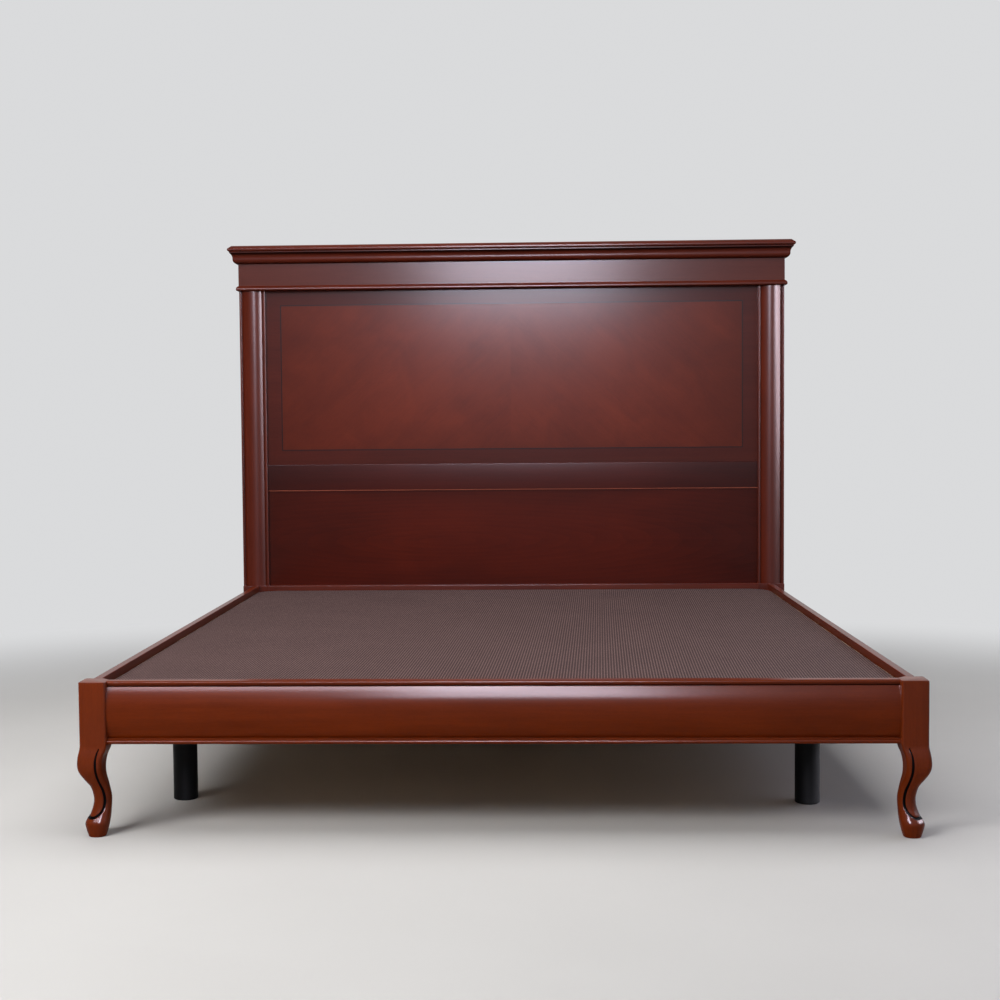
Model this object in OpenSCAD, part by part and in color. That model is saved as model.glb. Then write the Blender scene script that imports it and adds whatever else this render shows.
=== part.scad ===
// Classic double bed: panelled headboard with a cornice, moulded foot rail, two cabriole front legs and a
// fabric-covered platform that lifts out of the frame.
// The layout below is worked out with the front legs' faces at y = 0, the headboard at the far end (+y), the
// floor at z = 0 and the bed's centre line at x = 0. place() then moves it so that the middle of the whole
// length is at y = 0. Left and right are as seen from the foot end. All sizes are in millimetres.

/* [Mattress recess] */
// Clear width between the side rails
recess_w = 1820; // [1420:10:2020]
// Clear length between the foot rail and the headboard
recess_l = 2018; // [1918:1:2118]
// Depth of the recess, from the rails' top edge down to the fabric
recess_d = 17; // [8:1:30]

/* [Side rails] */
// Height of the rails' top edge above the floor
rail_top = 355; // [330:1:400]
// Height of a side rail, of the foot rail and of the headboard's bottom rail
rail_h = 142; // [136:1:160]
// Thickness of a side rail
rail_t = 20; // [19:0.5:28]

/* [Front legs] */
// Width and depth of a front leg's square block
leg_w = 61; // [56:1:72]
// How far a leg's outer face stands out past the side rail
leg_step = 18; // [10:1:22]
// How far the knee swells past the block's outer faces
knee_reach = 6.5; // [2:0.5:10]
// Radius of the block's upright edges
leg_edge_r = 5; // [3:0.5:7]
// Cut across the block's corner that faces the mattress
leg_corner_cut = 20; // [12:1:22]

/* [Foot rail] */
// How far the foot rail's crown lies behind the legs' front faces
foot_set = 4.5; // [1:0.5:8]
// How far the moulded face swells forward of its own top and bottom edges
foot_bulge = 12.5; // [8:0.5:16]
// Thickness of the moulded face at its edges
foot_edge_t = 7; // [5:0.5:9]
// Thickness of the board behind the moulded face
foot_board_t = 18; // [16:1:25]
// Height of the soft-edged strip along the top
foot_top_bead_h = 12.5; // [11:0.5:18]
// Height of the bottom moulding: a half round with a small fillet over it
foot_low_bead_h = 13.5; // [12:0.5:18]
// How far the bottom moulding lies behind the legs' front faces
foot_low_bead_set = 7.5; // [6:0.5:12]

/* [Headboard posts] */
// Width of a post
post_w = 92; // [84:1:100]
// How far a post's outer face stands out past the side rail
post_step = 38; // [32:1:44]
// Depth of the upright stile behind the mouldings
stile_t = 40; // [36:1:50]
// Thickness of the plinths, the pilasters and the frieze in front of the stiles
facing_t = 18; // [17:0.5:22]
// How far the rounded face stands forward of its ground
round_d = 15; // [8:0.5:16]
// Width of the flat fillet along each side of the rounded face
fillet_w = 7; // [5:0.5:9]
// Thickness of that fillet
fillet_t = 10; // [6:0.5:12]
// Width of the narrow groove between the rounded face and a fillet
quirk_w = 2; // [1.5:0.5:4]

/* [Headboard panels] */
// Overall height of the headboard
headboard_h = 1569; // [1400:1:1700]
// Height of the mid rail's lower edge above the floor
mid_rail_z = 695; // [600:1:760]
// Height of the mid rail
mid_rail_h = 95; // [80:1:110]
// Thickness of the headboard's rails
hb_rail_t = 32; // [28:1:34]
// Radius of the rails' softened front edges
rail_edge_r = 3; // [1:0.5:5]
// Thickness of the panel boards
core_t = 18; // [16:1:22]
// Thickness of the veneers and of the inlaid line
veneer_t = 1; // [0.8:0.1:1.5]
// How far the panel boards reach into the grooves of the stiles and rails
groove_d = 8; // [6:1:10]
// How far the veneered faces lie behind the mid rail's front
panel_set = 4; // [3:0.5:6]
// Width of the dark banding at the panel's two sides
band_side_w = 52; // [30:1:80]
// Width of the dark banding along the panel's top and bottom
band_end_w = 50; // [30:1:80]
// Width of the black inlaid line
string_w = 3.5; // [2:0.5:6]

/* [Cornice and frieze] */
// Thickness of the cap board on top
cap_t = 21; // [19:1:26]
// How far the cap's edge reaches past the frieze
cap_reach = 33; // [30:1:40]
// Width of the bevel along the cap's top edge
cap_bevel = 13; // [8:1:16]
// Height of the crown moulding under the cap
crown_h = 42; // [38:1:46]
// Height of the plain frieze between the two mouldings
frieze_h = 77.5; // [60:0.5:100]
// Height of the rounded moulding under the frieze
bead_h = 17.5; // [12:0.5:20]
// How far that moulding reaches past the frieze
bead_reach = 8.5; // [6:0.5:12]

/* [Platform] */
// Gap between the platform and the frame round it
platform_gap = 2; // [1:0.5:5]
// Radius of the platform's upright corners
corner_r = 80; // [60:1:110]
// Thickness of the fabric cover
fabric_t = 1.5; // [1:0.5:3]
// Thickness of the deck boards
deck_t = 12; // [10:1:15]
// Height of the battens round the edge
batten_h = 50; // [45:1:56]
// Width of those battens
batten_t = 30; // [25:1:40]
// Thickness of the bearers that carry the support legs
bearer_t = 25; // [24:1:30]
// Width of the stringers between the bearers and the deck
stringer_w = 40; // [30:1:60]

/* [Support legs] */
// Diameter of a support leg
support_d = 60; // [50:1:64]
// From the platform's left edge in to the left support legs
left_support_in = 112; // [100:1:200]
// From the platform's right edge in to the right support legs
right_support_in = 167; // [100:1:200]
// From the platform's front edge back to the front left support leg
left_support_back = 335; // [220:1:380]
// From the platform's front edge back to the front right support leg
right_support_back = 297; // [220:1:380]
// From the platform's rear edge forward to the rear support legs
rear_support_in = 279; // [220:1:360]
// Side of the square steel plate on top of a support leg
plate_w = 90; // [84:1:100]
// Thickness of that plate
plate_t = 3; // [2:0.5:4]
// Radius of the softened edge at a support leg's foot
support_edge_r = 3; // [2:0.5:5]

/* [Ledgers and fittings] */
// Width and height of the ledgers that the platform's edge rests on
ledger_w = 25; // [24:1:30]
// Height of a rail fitting's plate
fitting_h = 110; // [100:1:120]
// Width of a rail fitting's plate
fitting_w = 16; // [14:0.5:17]
// Thickness of a rail fitting's plate
fitting_t = 2.5; // [2:0.5:3]

/* [Hidden] */
$fn = 48;

// Finishes
mahogany = "#6e2818";
mahogany_dark = "#4a2420";
mahogany_veneer = "#7c3a2a";
ebony = "#1c1413";
pine = "#c9a777";
plywood = "#b8925f";
fibreboard = "#9c7a55";
steel = "#8f9296";
black_plastic = "#161718";
taupe = "#5e4a48";

// Small distance past a face for a clean cut
eps = 0.5;
// Gap between a screw or dowel and its hole
hole_gap = 0.1;
// Gap where the platform rests on the ledgers
seat_gap = 0.3;

// Frame layout
rail_x0 = recess_w / 2;
rail_x1 = rail_x0 + rail_t;
rail_cx = (rail_x0 + rail_x1) / 2;
rail_low = rail_top - rail_h;
rail_cz = rail_top - rail_h / 2;
leg_x1 = rail_x1 + leg_step;
leg_x0 = leg_x1 - leg_w;
foot_face_y = foot_set + foot_bulge + foot_edge_t;
foot_in_y = foot_face_y + foot_board_t;
foot_face_h = rail_h - foot_top_bead_h - foot_low_bead_h;
hb_y = foot_in_y + recess_l;

// Headboard layout
post_x1 = rail_x1 + post_step;
post_x0 = post_x1 - post_w;
post_cx = (post_x0 + post_x1) / 2;
stile_y = hb_y + facing_t;
back_y = stile_y + stile_t;
cap_z = headboard_h - cap_t;
crown_z = cap_z - crown_h;
frieze_z = crown_z - frieze_h;
bead_z = frieze_z - bead_h;
mid_rail_top = mid_rail_z + mid_rail_h;
veneer_y = stile_y + panel_set;
core_y = veneer_y + veneer_t;
bottom_rail_y = hb_y + 2;
pilaster_ground_t = facing_t - round_d;
// Width of a pilaster's rounded face
round_w = post_w - 2 * (fillet_w + quirk_w);

// Middle of the bed's whole length
mid_y = (back_y - knee_reach) / 2;

// Platform layout
fabric_top = rail_top - recess_d;
deck_top = fabric_top - fabric_t;
deck_low = deck_top - deck_t;
platform_low = deck_low - batten_h;
platform_x = rail_x0 - platform_gap;
platform_y0 = foot_in_y + platform_gap;
platform_y1 = hb_y - platform_gap;
platform_cy = (platform_y0 + platform_y1) / 2;
inner_x = platform_x - fabric_t;
inner_y0 = platform_y0 + fabric_t;
inner_y1 = platform_y1 - fabric_t;
inner_r = corner_r - fabric_t;
ledger_top = platform_low - seat_gap;
ledger_low = ledger_top - ledger_w;
ledger_cz = (ledger_top + ledger_low) / 2;

// Support legs: each place is the leg's centre in plan
front_left_place = [-platform_x + left_support_in, platform_y0 + left_support_back];
front_right_place = [platform_x - right_support_in, platform_y0 + right_support_back];
rear_left_place = [-platform_x + left_support_in, platform_y1 - rear_support_in];
rear_right_place = [platform_x - right_support_in, platform_y1 - rear_support_in];
centre_place = [0, platform_cy];
support_places = [front_left_place, front_right_place, rear_left_place, rear_right_place, centre_place];
bearer_margin = 10;
front_bearer_w = abs(front_left_place.y - front_right_place.y) + plate_w + 2 * bearer_margin;
front_bearer_y = (front_left_place.y + front_right_place.y) / 2;
other_bearer_w = plate_w + 2 * bearer_margin;
bearers = [[front_bearer_y, front_bearer_w], [platform_cy, other_bearer_w], [rear_left_place.y, other_bearer_w]];
stud_r = 4;
stud_l = 25;

// Screws: [length, radius, head radius, head height]
ledger_screw = [ledger_w + 12, 2, 4, 3];
plate_screw = [22, 2, 4, 2];
fitting_screw = [15, 1.75, 3.2, 1.5];
plate_screw_in = 12;
ledger_screw_pitch = 380;
ledger_end_gap = 60;

// Dowels: [length, radius]
hb_dowel = [60, 5];
foot_dowel = [40, 4];
dowel_y = stile_y + hb_rail_t / 2;
foot_dowel_y = foot_in_y - foot_board_t / 2;
foot_dowel_z = [rail_cz - rail_h / 4, rail_cz + rail_h / 4];
hb_dowel_z = [
    mid_rail_z + mid_rail_h / 4, mid_rail_top - mid_rail_h / 4,
    rail_low + rail_h / 4, rail_top - rail_h / 4,
    bead_z + (cap_z - bead_z) / 4, cap_z - (cap_z - bead_z) / 4
];

// Rail fittings: hooks on the rail's plate drop behind a slotted plate let into the post
hook_t = 3;
hook_h = 20;
hook_l = 11;
hook_nose = 6;
hook_lift = 7;
hook_pitch = 0.21 * fitting_h;
fitting_gap = 0.3;
fitting_screw_z = fitting_h / 2 - 7;

// Cabriole curves: [share of the height below the block, distance in from the block's outer face]
leg_outer_curve = [
    [0, 10.7], [0.08, 5.8], [0.15, 3.9], [0.22, 10.9], [0.3, 17.5], [0.38, 20.3], [0.46, 18.6], [0.54, 14.2],
    [0.62, 4.8], [0.68, -0.28 * knee_reach], [0.73, -0.83 * knee_reach], [0.78, -knee_reach],
    [0.85, -0.86 * knee_reach], [0.91, -0.52 * knee_reach], [0.96, -0.14 * knee_reach], [1, 0]
];
// The same for the inner side, measured in from the block's inner face
leg_inner_curve = [
    [0, 12], [0.07, 7.4], [0.16, 3.4], [0.28, 1.3], [0.42, 0.4], [0.54, 4.8], [0.67, 10.8], [0.78, 11.6],
    [0.87, 8.6], [0.93, 3.8], [1, 0]
];
// Corner radius as a share of the section's half width
leg_round_curve = [
    [0, 0.9], [0.2, 0.85], [0.38, 0.96], [0.5, 0.9], [0.62, 0.6], [0.8, 0.35], [1, 2 * leg_edge_r / leg_w]
];
leg_rings = 36;
leg_corner_steps = 7;

// Value of a curve at t: a smooth line through its points, with each slope taken from the two neighbours
function slope_at(c, i) =
    i == 0 ? (c[1][1] - c[0][1]) / (c[1][0] - c[0][0])
    : i == len(c) - 1 ? (c[i][1] - c[i - 1][1]) / (c[i][0] - c[i - 1][0])
    : (c[i + 1][1] - c[i - 1][1]) / (c[i + 1][0] - c[i - 1][0]);
function span_at(c, t, i = 0) = (i >= len(c) - 2 || t < c[i + 1][0]) ? i : span_at(c, t, i + 1);
function hermite(c, i, w, u) =
    (2 * u ^ 3 - 3 * u ^ 2 + 1) * c[i][1] + (u ^ 3 - 2 * u ^ 2 + u) * w * slope_at(c, i)
    + (3 * u ^ 2 - 2 * u ^ 3) * c[i + 1][1] + (u ^ 3 - u ^ 2) * w * slope_at(c, i + 1);
function curve(c, t) =
    let (i = span_at(c, t), w = c[i + 1][0] - c[i][0])
    hermite(c, i, w, (t - c[i][0]) / w);

// Moves the layout so that the middle of the bed's length is at y = 0
module place() {
    translate([0, -mid_y, 0]) children();
}

// A box between two corners
module box(low, high) {
    translate(low) cube(high - low);
}

// A rectangle between two corners, with round corners of radius r
module round_rect(low, high, r) {
    translate(low + [r, 0]) square([high.x - low.x - 2 * r, high.y - low.y]);
    translate(low + [0, r]) square([high.x - low.x, high.y - low.y - 2 * r]);
    for (x = [low.x + r, high.x - r], y = [low.y + r, high.y - r])
        translate([x, y]) circle(r);
}

// A profile drawn as [depth behind y = 0, height], run along x between two places
module run_x(x0, x1) {
    translate([x1, 0, 0]) rotate([90, 0, -90]) linear_extrude(x1 - x0) mirror([1, 0]) children();
}

// A board along x with its two front edges rounded off by r
module soft_board(x, y0, y1, z0, z1, r) {
    run_x(-x, x) {
        translate([y0 + r, z0]) square([y1 - y0 - r, z1 - z0]);
        translate([y0, z0 + r]) square([r + eps, z1 - z0 - 2 * r]);
        for (z = [z0 + r, z1 - r])
            translate([y0 + r, z]) circle(r);
    }
}

// A countersunk screw along +z, with its head's top at z = 0 and its point at z = length
module screw(s) {
    cylinder(h = s[0], r = s[1]);
    cylinder(h = s[3], r = s[2]);
}

// The hole for that screw
module screw_hole(s) {
    translate([0, 0, -eps]) cylinder(h = s[0] + eps + hole_gap, r = s[1] + hole_gap);
    translate([0, 0, -eps]) cylinder(h = s[3] + eps + hole_gap, r = s[2] + hole_gap);
}

// Mouldings that go round the headboard's front and sides

// The crown moulding's profile, a quarter round under a deep cove and a fillet:
// [reach past the frieze, height above the moulding's foot]
module crown_profile() {
    ovolo_r = 0.375 * crown_h;
    ovolo_x = 0.515 * cap_reach;
    cove_low = 0.45 * crown_h;
    cove_r = crown_h - cove_low;
    fillet_x = cap_reach - 6;
    difference() {
        union() {
            square([max(1, ovolo_x - ovolo_r), crown_h]);
            intersection() {
                translate([ovolo_x - ovolo_r, ovolo_r]) circle(ovolo_r);
                square([ovolo_x, ovolo_r]);
            }
            translate([0, ovolo_r]) square([ovolo_x, cove_low - ovolo_r]);
            translate([0, cove_low]) square([fillet_x, crown_h - cove_low]);
        }
        translate([ovolo_x + cove_r, cove_low]) circle(cove_r, $fn = 96);
    }
}

// The frieze moulding's profile: a long round falling outward from its top to a tight round under it
module bead_profile() {
    low_r = 0.31 * bead_h;
    rise = bead_h - low_r;
    run = 0.9 * bead_reach;
    top_r = (run ^ 2 + rise ^ 2) / (2 * run);
    intersection() {
        translate([bead_reach - top_r, low_r]) circle(top_r, $fn = 96);
        translate([0, low_r]) square([bead_reach + eps, rise]);
    }
    intersection() {
        translate([bead_reach - low_r, low_r]) circle(low_r);
        square([bead_reach + eps, low_r]);
    }
    square([bead_reach - low_r, low_r]);
}

// Runs a [reach, height] profile along the front of the headboard, mitred at both ends
module front_moulding(z, h, reach) {
    intersection() {
        translate([0, hb_y, z]) run_x(-post_x1 - reach, post_x1 + reach) mirror([1, 0]) children();
        translate([0, hb_y, z - eps]) linear_extrude(h + 2 * eps)
            polygon([[-post_x1, 0], [post_x1, 0], [post_x1 + reach, -reach], [-post_x1 - reach, -reach]]);
    }
}

// Runs the same profile back along one side of the headboard, mitred at the front
module side_moulding(side, z, h, reach) {
    mirror([side < 0 ? 1 : 0, 0, 0]) intersection() {
        translate([post_x1, back_y, z]) rotate([90, 0, 0])
            linear_extrude(back_y - hb_y + reach) children();
        translate([0, hb_y, z - eps]) linear_extrude(h + 2 * eps)
            polygon([[post_x1, 0], [post_x1 + reach, -reach],
                     [post_x1 + reach, back_y - hb_y], [post_x1, back_y - hb_y]]);
    }
}

// Headboard

module cornice_cap() {
    edge_low = 5;
    edge_in = 5;
    edge_high = cap_t - 10;
    side_x = post_x1 + cap_reach;
    front_y = hb_y - cap_reach;
    color(mahogany) place() translate([0, 0, cap_z]) intersection() {
        run_x(-side_x, side_x)
            polygon([[front_y + edge_in, 0], [front_y, edge_low], [front_y, edge_high],
                     [front_y + cap_bevel, cap_t], [back_y, cap_t], [back_y, 0]]);
        translate([0, back_y, 0]) rotate([90, 0, 0]) linear_extrude(back_y - front_y)
            polygon([[-side_x + edge_in, 0], [-side_x, edge_low], [-side_x, edge_high],
                     [-side_x + cap_bevel, cap_t], [side_x - cap_bevel, cap_t],
                     [side_x, edge_high], [side_x, edge_low], [side_x - edge_in, 0]]);
    }
}

module crown_front() {
    color(mahogany) place() front_moulding(crown_z, crown_h, cap_reach) crown_profile();
}

module crown_return(side) {
    color(mahogany) place() side_moulding(side, crown_z, crown_h, cap_reach) crown_profile();
}

module frieze_board() {
    color(mahogany) place() box([-post_x1, hb_y, bead_z], [post_x1, stile_y, cap_z]);
}

module frieze_bead_front() {
    color(mahogany) place() front_moulding(bead_z, bead_h, bead_reach) bead_profile();
}

module frieze_bead_return(side) {
    color(mahogany) place() side_moulding(side, bead_z, bead_h, bead_reach) bead_profile();
}

// Places a dowel or its hole at both ends of the headboard's rails, for the heights in the list
module hb_dowels(heights, gap = 0) {
    for (side = [-1, 1], z = heights)
        translate([side * post_x0 - hb_dowel[0] / 2 - gap, dowel_y, z]) rotate([0, 90, 0])
            cylinder(h = hb_dowel[0] + 2 * gap, r = hb_dowel[1] + gap);
}

// The two panel boards, whose edges fill the grooves of the stiles and rails round them
module panel_board(z0, z1) {
    box([-post_x0 - groove_d, core_y, z0 - groove_d], [post_x0 + groove_d, core_y + core_t, z1 + groove_d]);
}

module both_panel_boards() {
    panel_board(mid_rail_top, bead_z);
    panel_board(rail_top, mid_rail_z);
}

module top_rail() {
    color(pine) place() difference() {
        box([-post_x0, stile_y, bead_z], [post_x0, stile_y + hb_rail_t, cap_z]);
        both_panel_boards();
        hb_dowels([hb_dowel_z[4], hb_dowel_z[5]], hole_gap);
    }
}

module stile(side) {
    color(mahogany) place() difference() {
        mirror([side < 0 ? 1 : 0, 0, 0]) box([post_x0, stile_y, 0], [post_x1, back_y, cap_z]);
        both_panel_boards();
        hb_dowels(hb_dowel_z, hole_gap);
    }
}

module plinth(side) {
    color(mahogany) place() difference() {
        mirror([side < 0 ? 1 : 0, 0, 0]) box([post_x0, hb_y, 0], [post_x1, stile_y, rail_top]);
        at_fitting(side, "head") fitting_post_cut();
    }
}

// A pilaster's plan: a rounded face between two flat fillets, on a thin ground
module pilaster_plan() {
    half = round_w / 2;
    r = (half ^ 2 + round_d ^ 2) / (2 * round_d);
    translate([-post_w / 2, -pilaster_ground_t]) square([post_w, pilaster_ground_t]);
    intersection() {
        translate([0, r - facing_t]) circle(r, $fn = 96);
        translate([-half, -facing_t]) square([round_w, round_d + eps]);
    }
    for (side = [-1, 1])
        translate([side * (post_w / 2 - fillet_w / 2), -fillet_t / 2 - eps / 2])
            round_bar([fillet_w, fillet_t - eps], 2);
    for (side = [-1, 1])
        translate([side * (post_w / 2 - fillet_w / 2) - fillet_w / 2, -fillet_t / 2])
            square([fillet_w, fillet_t / 2]);
}

// A bar of the given size about the origin, with its two front corners rounded
module round_bar(size, r) {
    w = size.x / 2;
    h = size.y / 2;
    translate([-w, -h + r]) square([size.x, size.y - r]);
    translate([-w + r, -h]) square([size.x - 2 * r, r + 0.1]);
    for (x = [-w + r, w - r])
        translate([x, -h + r]) circle(r);
}

module pilaster(side) {
    color(mahogany) place() translate([side * post_cx, stile_y, rail_top])
        linear_extrude(bead_z - rail_top) pilaster_plan();
}

module upper_panel() {
    color(fibreboard) place() panel_board(mid_rail_top, bead_z);
}

// Corners of the panel inside the banding, and inside the inlaid line
band_x = post_x0 - band_side_w;
band_z0 = mid_rail_top + band_end_w;
band_z1 = bead_z - band_end_w;
leaf_x = band_x - string_w;
leaf_z0 = band_z0 + string_w;
leaf_z1 = band_z1 - string_w;

module veneer_leaf(side) {
    color(mahogany_veneer) place() mirror([side < 0 ? 1 : 0, 0, 0])
        box([0, veneer_y, leaf_z0], [leaf_x, core_y, leaf_z1]);
}

// Four mitred strips between an outer and an inner rectangle on the panel's face
module mitred_frame(x1, z0, z1, in_x, in_z0, in_z1) {
    translate([0, core_y, 0]) rotate([90, 0, 0]) {
        linear_extrude(veneer_t) polygon([[-x1, z0], [x1, z0], [in_x, in_z0], [-in_x, in_z0]]);
        linear_extrude(veneer_t) polygon([[-x1, z1], [-in_x, in_z1], [in_x, in_z1], [x1, z1]]);
        linear_extrude(veneer_t) polygon([[-x1, z0], [-in_x, in_z0], [-in_x, in_z1], [-x1, z1]]);
        linear_extrude(veneer_t) polygon([[x1, z0], [x1, z1], [in_x, in_z1], [in_x, in_z0]]);
    }
}

module inlaid_line() {
    color(ebony) place() mitred_frame(band_x, band_z0, band_z1, leaf_x, leaf_z0, leaf_z1);
}

module banding() {
    color(mahogany_dark) place() mitred_frame(post_x0, mid_rail_top, bead_z, band_x, band_z0, band_z1);
}

module mid_rail() {
    color(mahogany) place() difference() {
        soft_board(post_x0, stile_y, stile_y + hb_rail_t, mid_rail_z, mid_rail_top, rail_edge_r);
        both_panel_boards();
        hb_dowels([hb_dowel_z[0], hb_dowel_z[1]], hole_gap);
    }
}

module lower_panel() {
    color(fibreboard) place() panel_board(rail_top, mid_rail_z);
}

module lower_veneer() {
    color(mahogany_veneer) place() box([-post_x0, veneer_y, rail_top], [post_x0, core_y, mid_rail_z]);
}

module bottom_rail() {
    color(mahogany) place() difference() {
        soft_board(post_x0, bottom_rail_y, stile_y + hb_rail_t, rail_low, rail_top, rail_edge_r);
        both_panel_boards();
        hb_dowels([hb_dowel_z[2], hb_dowel_z[3]], hole_gap);
        end_ledger_screws(bottom_rail_y, 1) screw_hole(ledger_screw);
    }
}

module headboard_dowels() {
    color(pine) place() hb_dowels(hb_dowel_z);
}

// Frame

// Puts a fitting at one end of one side rail, with +y pointing from the rail into the post
module at_fitting(side, end) {
    translate([side * rail_cx, end == "head" ? hb_y : leg_w, rail_cz])
        mirror([0, end == "head" ? 0 : 1, 0]) children();
}

// Heights of the fitting's two hooks and of its two screws
hook_z = [-hook_pitch, hook_pitch];
screw_z = [-fitting_screw_z, fitting_screw_z];

module fitting_rail_cut() {
    box([-fitting_w / 2, -fitting_t, -fitting_h / 2], [fitting_w / 2, eps, fitting_h / 2]);
    for (z = screw_z)
        translate([0, 0, z]) rotate([90, 0, 0]) screw_hole(fitting_screw);
}

module fitting_post_cut() {
    box([-fitting_w / 2, -eps, -fitting_h / 2], [fitting_w / 2, fitting_t, fitting_h / 2]);
    for (z = hook_z)
        translate([0, 0, z])
            box([-hook_t, 0, -hook_h / 2 - hook_nose - 1],
                [hook_t, hook_l + 1, hook_h / 2 + hook_lift + 1]);
    for (z = screw_z)
        translate([0, 0, z]) rotate([-90, 0, 0]) screw_hole(fitting_screw);
}

module hook_plate() {
    difference() {
        union() {
            box([-fitting_w / 2, -fitting_t, -fitting_h / 2], [fitting_w / 2, 0, fitting_h / 2]);
            for (z = hook_z)
                translate([-hook_t / 2, 0, z]) rotate([90, 0, 90]) linear_extrude(hook_t)
                    polygon([[-fitting_t, -hook_h / 2], [-fitting_t, hook_h / 2], [hook_l, hook_h / 2],
                             [hook_l, -hook_h / 2 - hook_nose],
                             [fitting_t + fitting_gap, -hook_h / 2 - hook_nose],
                             [fitting_t + fitting_gap, -hook_h / 2]]);
        }
        for (z = screw_z)
            translate([0, 0, z]) rotate([90, 0, 0]) screw_hole(fitting_screw);
    }
}

module slot_plate() {
    difference() {
        box([-fitting_w / 2, 0, -fitting_h / 2], [fitting_w / 2, fitting_t, fitting_h / 2]);
        for (z = hook_z)
            translate([0, 0, z])
                box([-hook_t / 2 - fitting_gap, -eps, -hook_h / 2 - fitting_gap],
                    [hook_t / 2 + fitting_gap, fitting_t + eps, hook_h / 2 + hook_lift]);
        for (z = screw_z)
            translate([0, 0, z]) rotate([-90, 0, 0]) screw_hole(fitting_screw);
    }
}

module all_fittings() {
    for (side = [-1, 1], end = ["head", "foot"])
        at_fitting(side, end) children();
}

module rail_hook_plates() {
    color(steel) place() all_fittings() hook_plate();
}

module post_slot_plates() {
    color(steel) place() all_fittings() slot_plate();
}

module fitting_screws() {
    color(steel) place() all_fittings() for (z = screw_z) translate([0, 0, z]) {
        rotate([90, 0, 0]) screw_tip();
        rotate([-90, 0, 0]) screw_tip();
    }
}

// A fitting's screw, its head just under the plate's face so that two heads can face each other
module screw_tip() {
    translate([0, 0, hole_gap]) screw([fitting_screw[0] - hole_gap, fitting_screw[1], fitting_screw[2],
                                       fitting_screw[3] - hole_gap]);
}

// Places along a ledger of the given half length where its screws go
function screw_row(half) =
    let (n = max(2, floor(2 * (half - ledger_end_gap) / ledger_screw_pitch) + 1))
    [for (i = [0:n - 1]) -(half - ledger_end_gap) + i * 2 * (half - ledger_end_gap) / (n - 1)];

side_ledger_half = (platform_y1 - platform_y0) / 2 - corner_r;
end_ledger_half = platform_x - corner_r - ledger_w;

// Screws or holes of a side ledger, driven outward into the rail
module side_ledger_screws(side) {
    for (y = screw_row(side_ledger_half))
        translate([side * (rail_x0 - ledger_w), platform_cy + y, ledger_cz]) rotate([0, side * 90, 0])
            children();
}

// Screws or holes of an end ledger whose wood lies in front of face_y, driven towards the face
module end_ledger_screws(face_y, direction) {
    for (x = screw_row(end_ledger_half))
        translate([x, face_y - direction * ledger_w, ledger_cz]) rotate([-direction * 90, 0, 0]) children();
}

module side_rail(side) {
    color(mahogany) place() difference() {
        mirror([side < 0 ? 1 : 0, 0, 0]) translate([0, leg_w, 0]) rotate([-90, 0, 0])
            linear_extrude(hb_y - leg_w) mirror([0, 1])
            round_rect([rail_x0, rail_low], [rail_x1, rail_top], 1.5);
        for (end = ["head", "foot"])
            at_fitting(side, end) fitting_rail_cut();
        side_ledger_screws(side) screw_hole(ledger_screw);
    }
}

// Dowels or holes between the foot board and the legs
module foot_dowel_set(gap = 0) {
    for (side = [-1, 1], z = foot_dowel_z)
        translate([side * leg_x0 - foot_dowel[0] / 2 - gap, foot_dowel_y, z]) rotate([0, 90, 0])
            cylinder(h = foot_dowel[0] + 2 * gap, r = foot_dowel[1] + gap);
}

module foot_board() {
    color(mahogany) place() difference() {
        box([-leg_x0, foot_face_y, rail_low], [leg_x0, foot_in_y, rail_top]);
        foot_dowel_set(hole_gap);
        end_ledger_screws(foot_in_y, -1) screw_hole(ledger_screw);
    }
}

// The swelling face: a slice of a round bar, flat at the back
module foot_moulded_face() {
    half = foot_face_h / 2;
    r = (half ^ 2 + foot_bulge ^ 2) / (2 * foot_bulge);
    z0 = rail_low + foot_low_bead_h;
    color(mahogany) place() run_x(-leg_x0, leg_x0) {
        intersection() {
            translate([foot_set + r, z0 + half]) circle(r, $fn = 128);
            translate([foot_set - eps, z0]) square([foot_bulge + eps * 2, foot_face_h]);
        }
        translate([foot_set + foot_bulge, z0]) square([foot_edge_t, foot_face_h]);
    }
}

// A flat strip flush with the moulded face's top edge, with a soft arris over a tighter one
module foot_top_bead() {
    top_r = 4.5;
    low_r = 2;
    y0 = foot_set + foot_bulge - 0.5;
    z0 = rail_top - foot_top_bead_h;
    color(mahogany) place() run_x(-leg_x0, leg_x0) intersection() {
        translate([y0, z0]) square([foot_face_y - y0, foot_top_bead_h]);
        union() {
            translate([y0 + top_r, rail_top - top_r]) circle(top_r);
            translate([y0 + low_r, z0 + low_r]) circle(low_r);
            translate([y0, z0 + low_r]) square([top_r, foot_top_bead_h - low_r - top_r]);
            translate([y0 + low_r, z0]) square([top_r, foot_top_bead_h - top_r]);
            translate([y0 + top_r, z0]) square([foot_face_y - y0, foot_top_bead_h]);
        }
    }
}

module foot_low_bead() {
    fillet = 3.5;
    r = (foot_low_bead_h - fillet) / 2;
    y0 = foot_low_bead_set;
    color(mahogany) place() run_x(-leg_x0, leg_x0) {
        intersection() {
            translate([y0 + r, rail_low + r]) circle(r);
            translate([y0, rail_low]) square([r, 2 * r]);
        }
        translate([y0 + r, rail_low]) square([foot_face_y - y0 - r, foot_low_bead_h]);
        translate([y0 + 3, rail_low + 2 * r]) square([r - 3, fillet]);
    }
}

module foot_dowels() {
    color(pine) place() foot_dowel_set();
}

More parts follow.
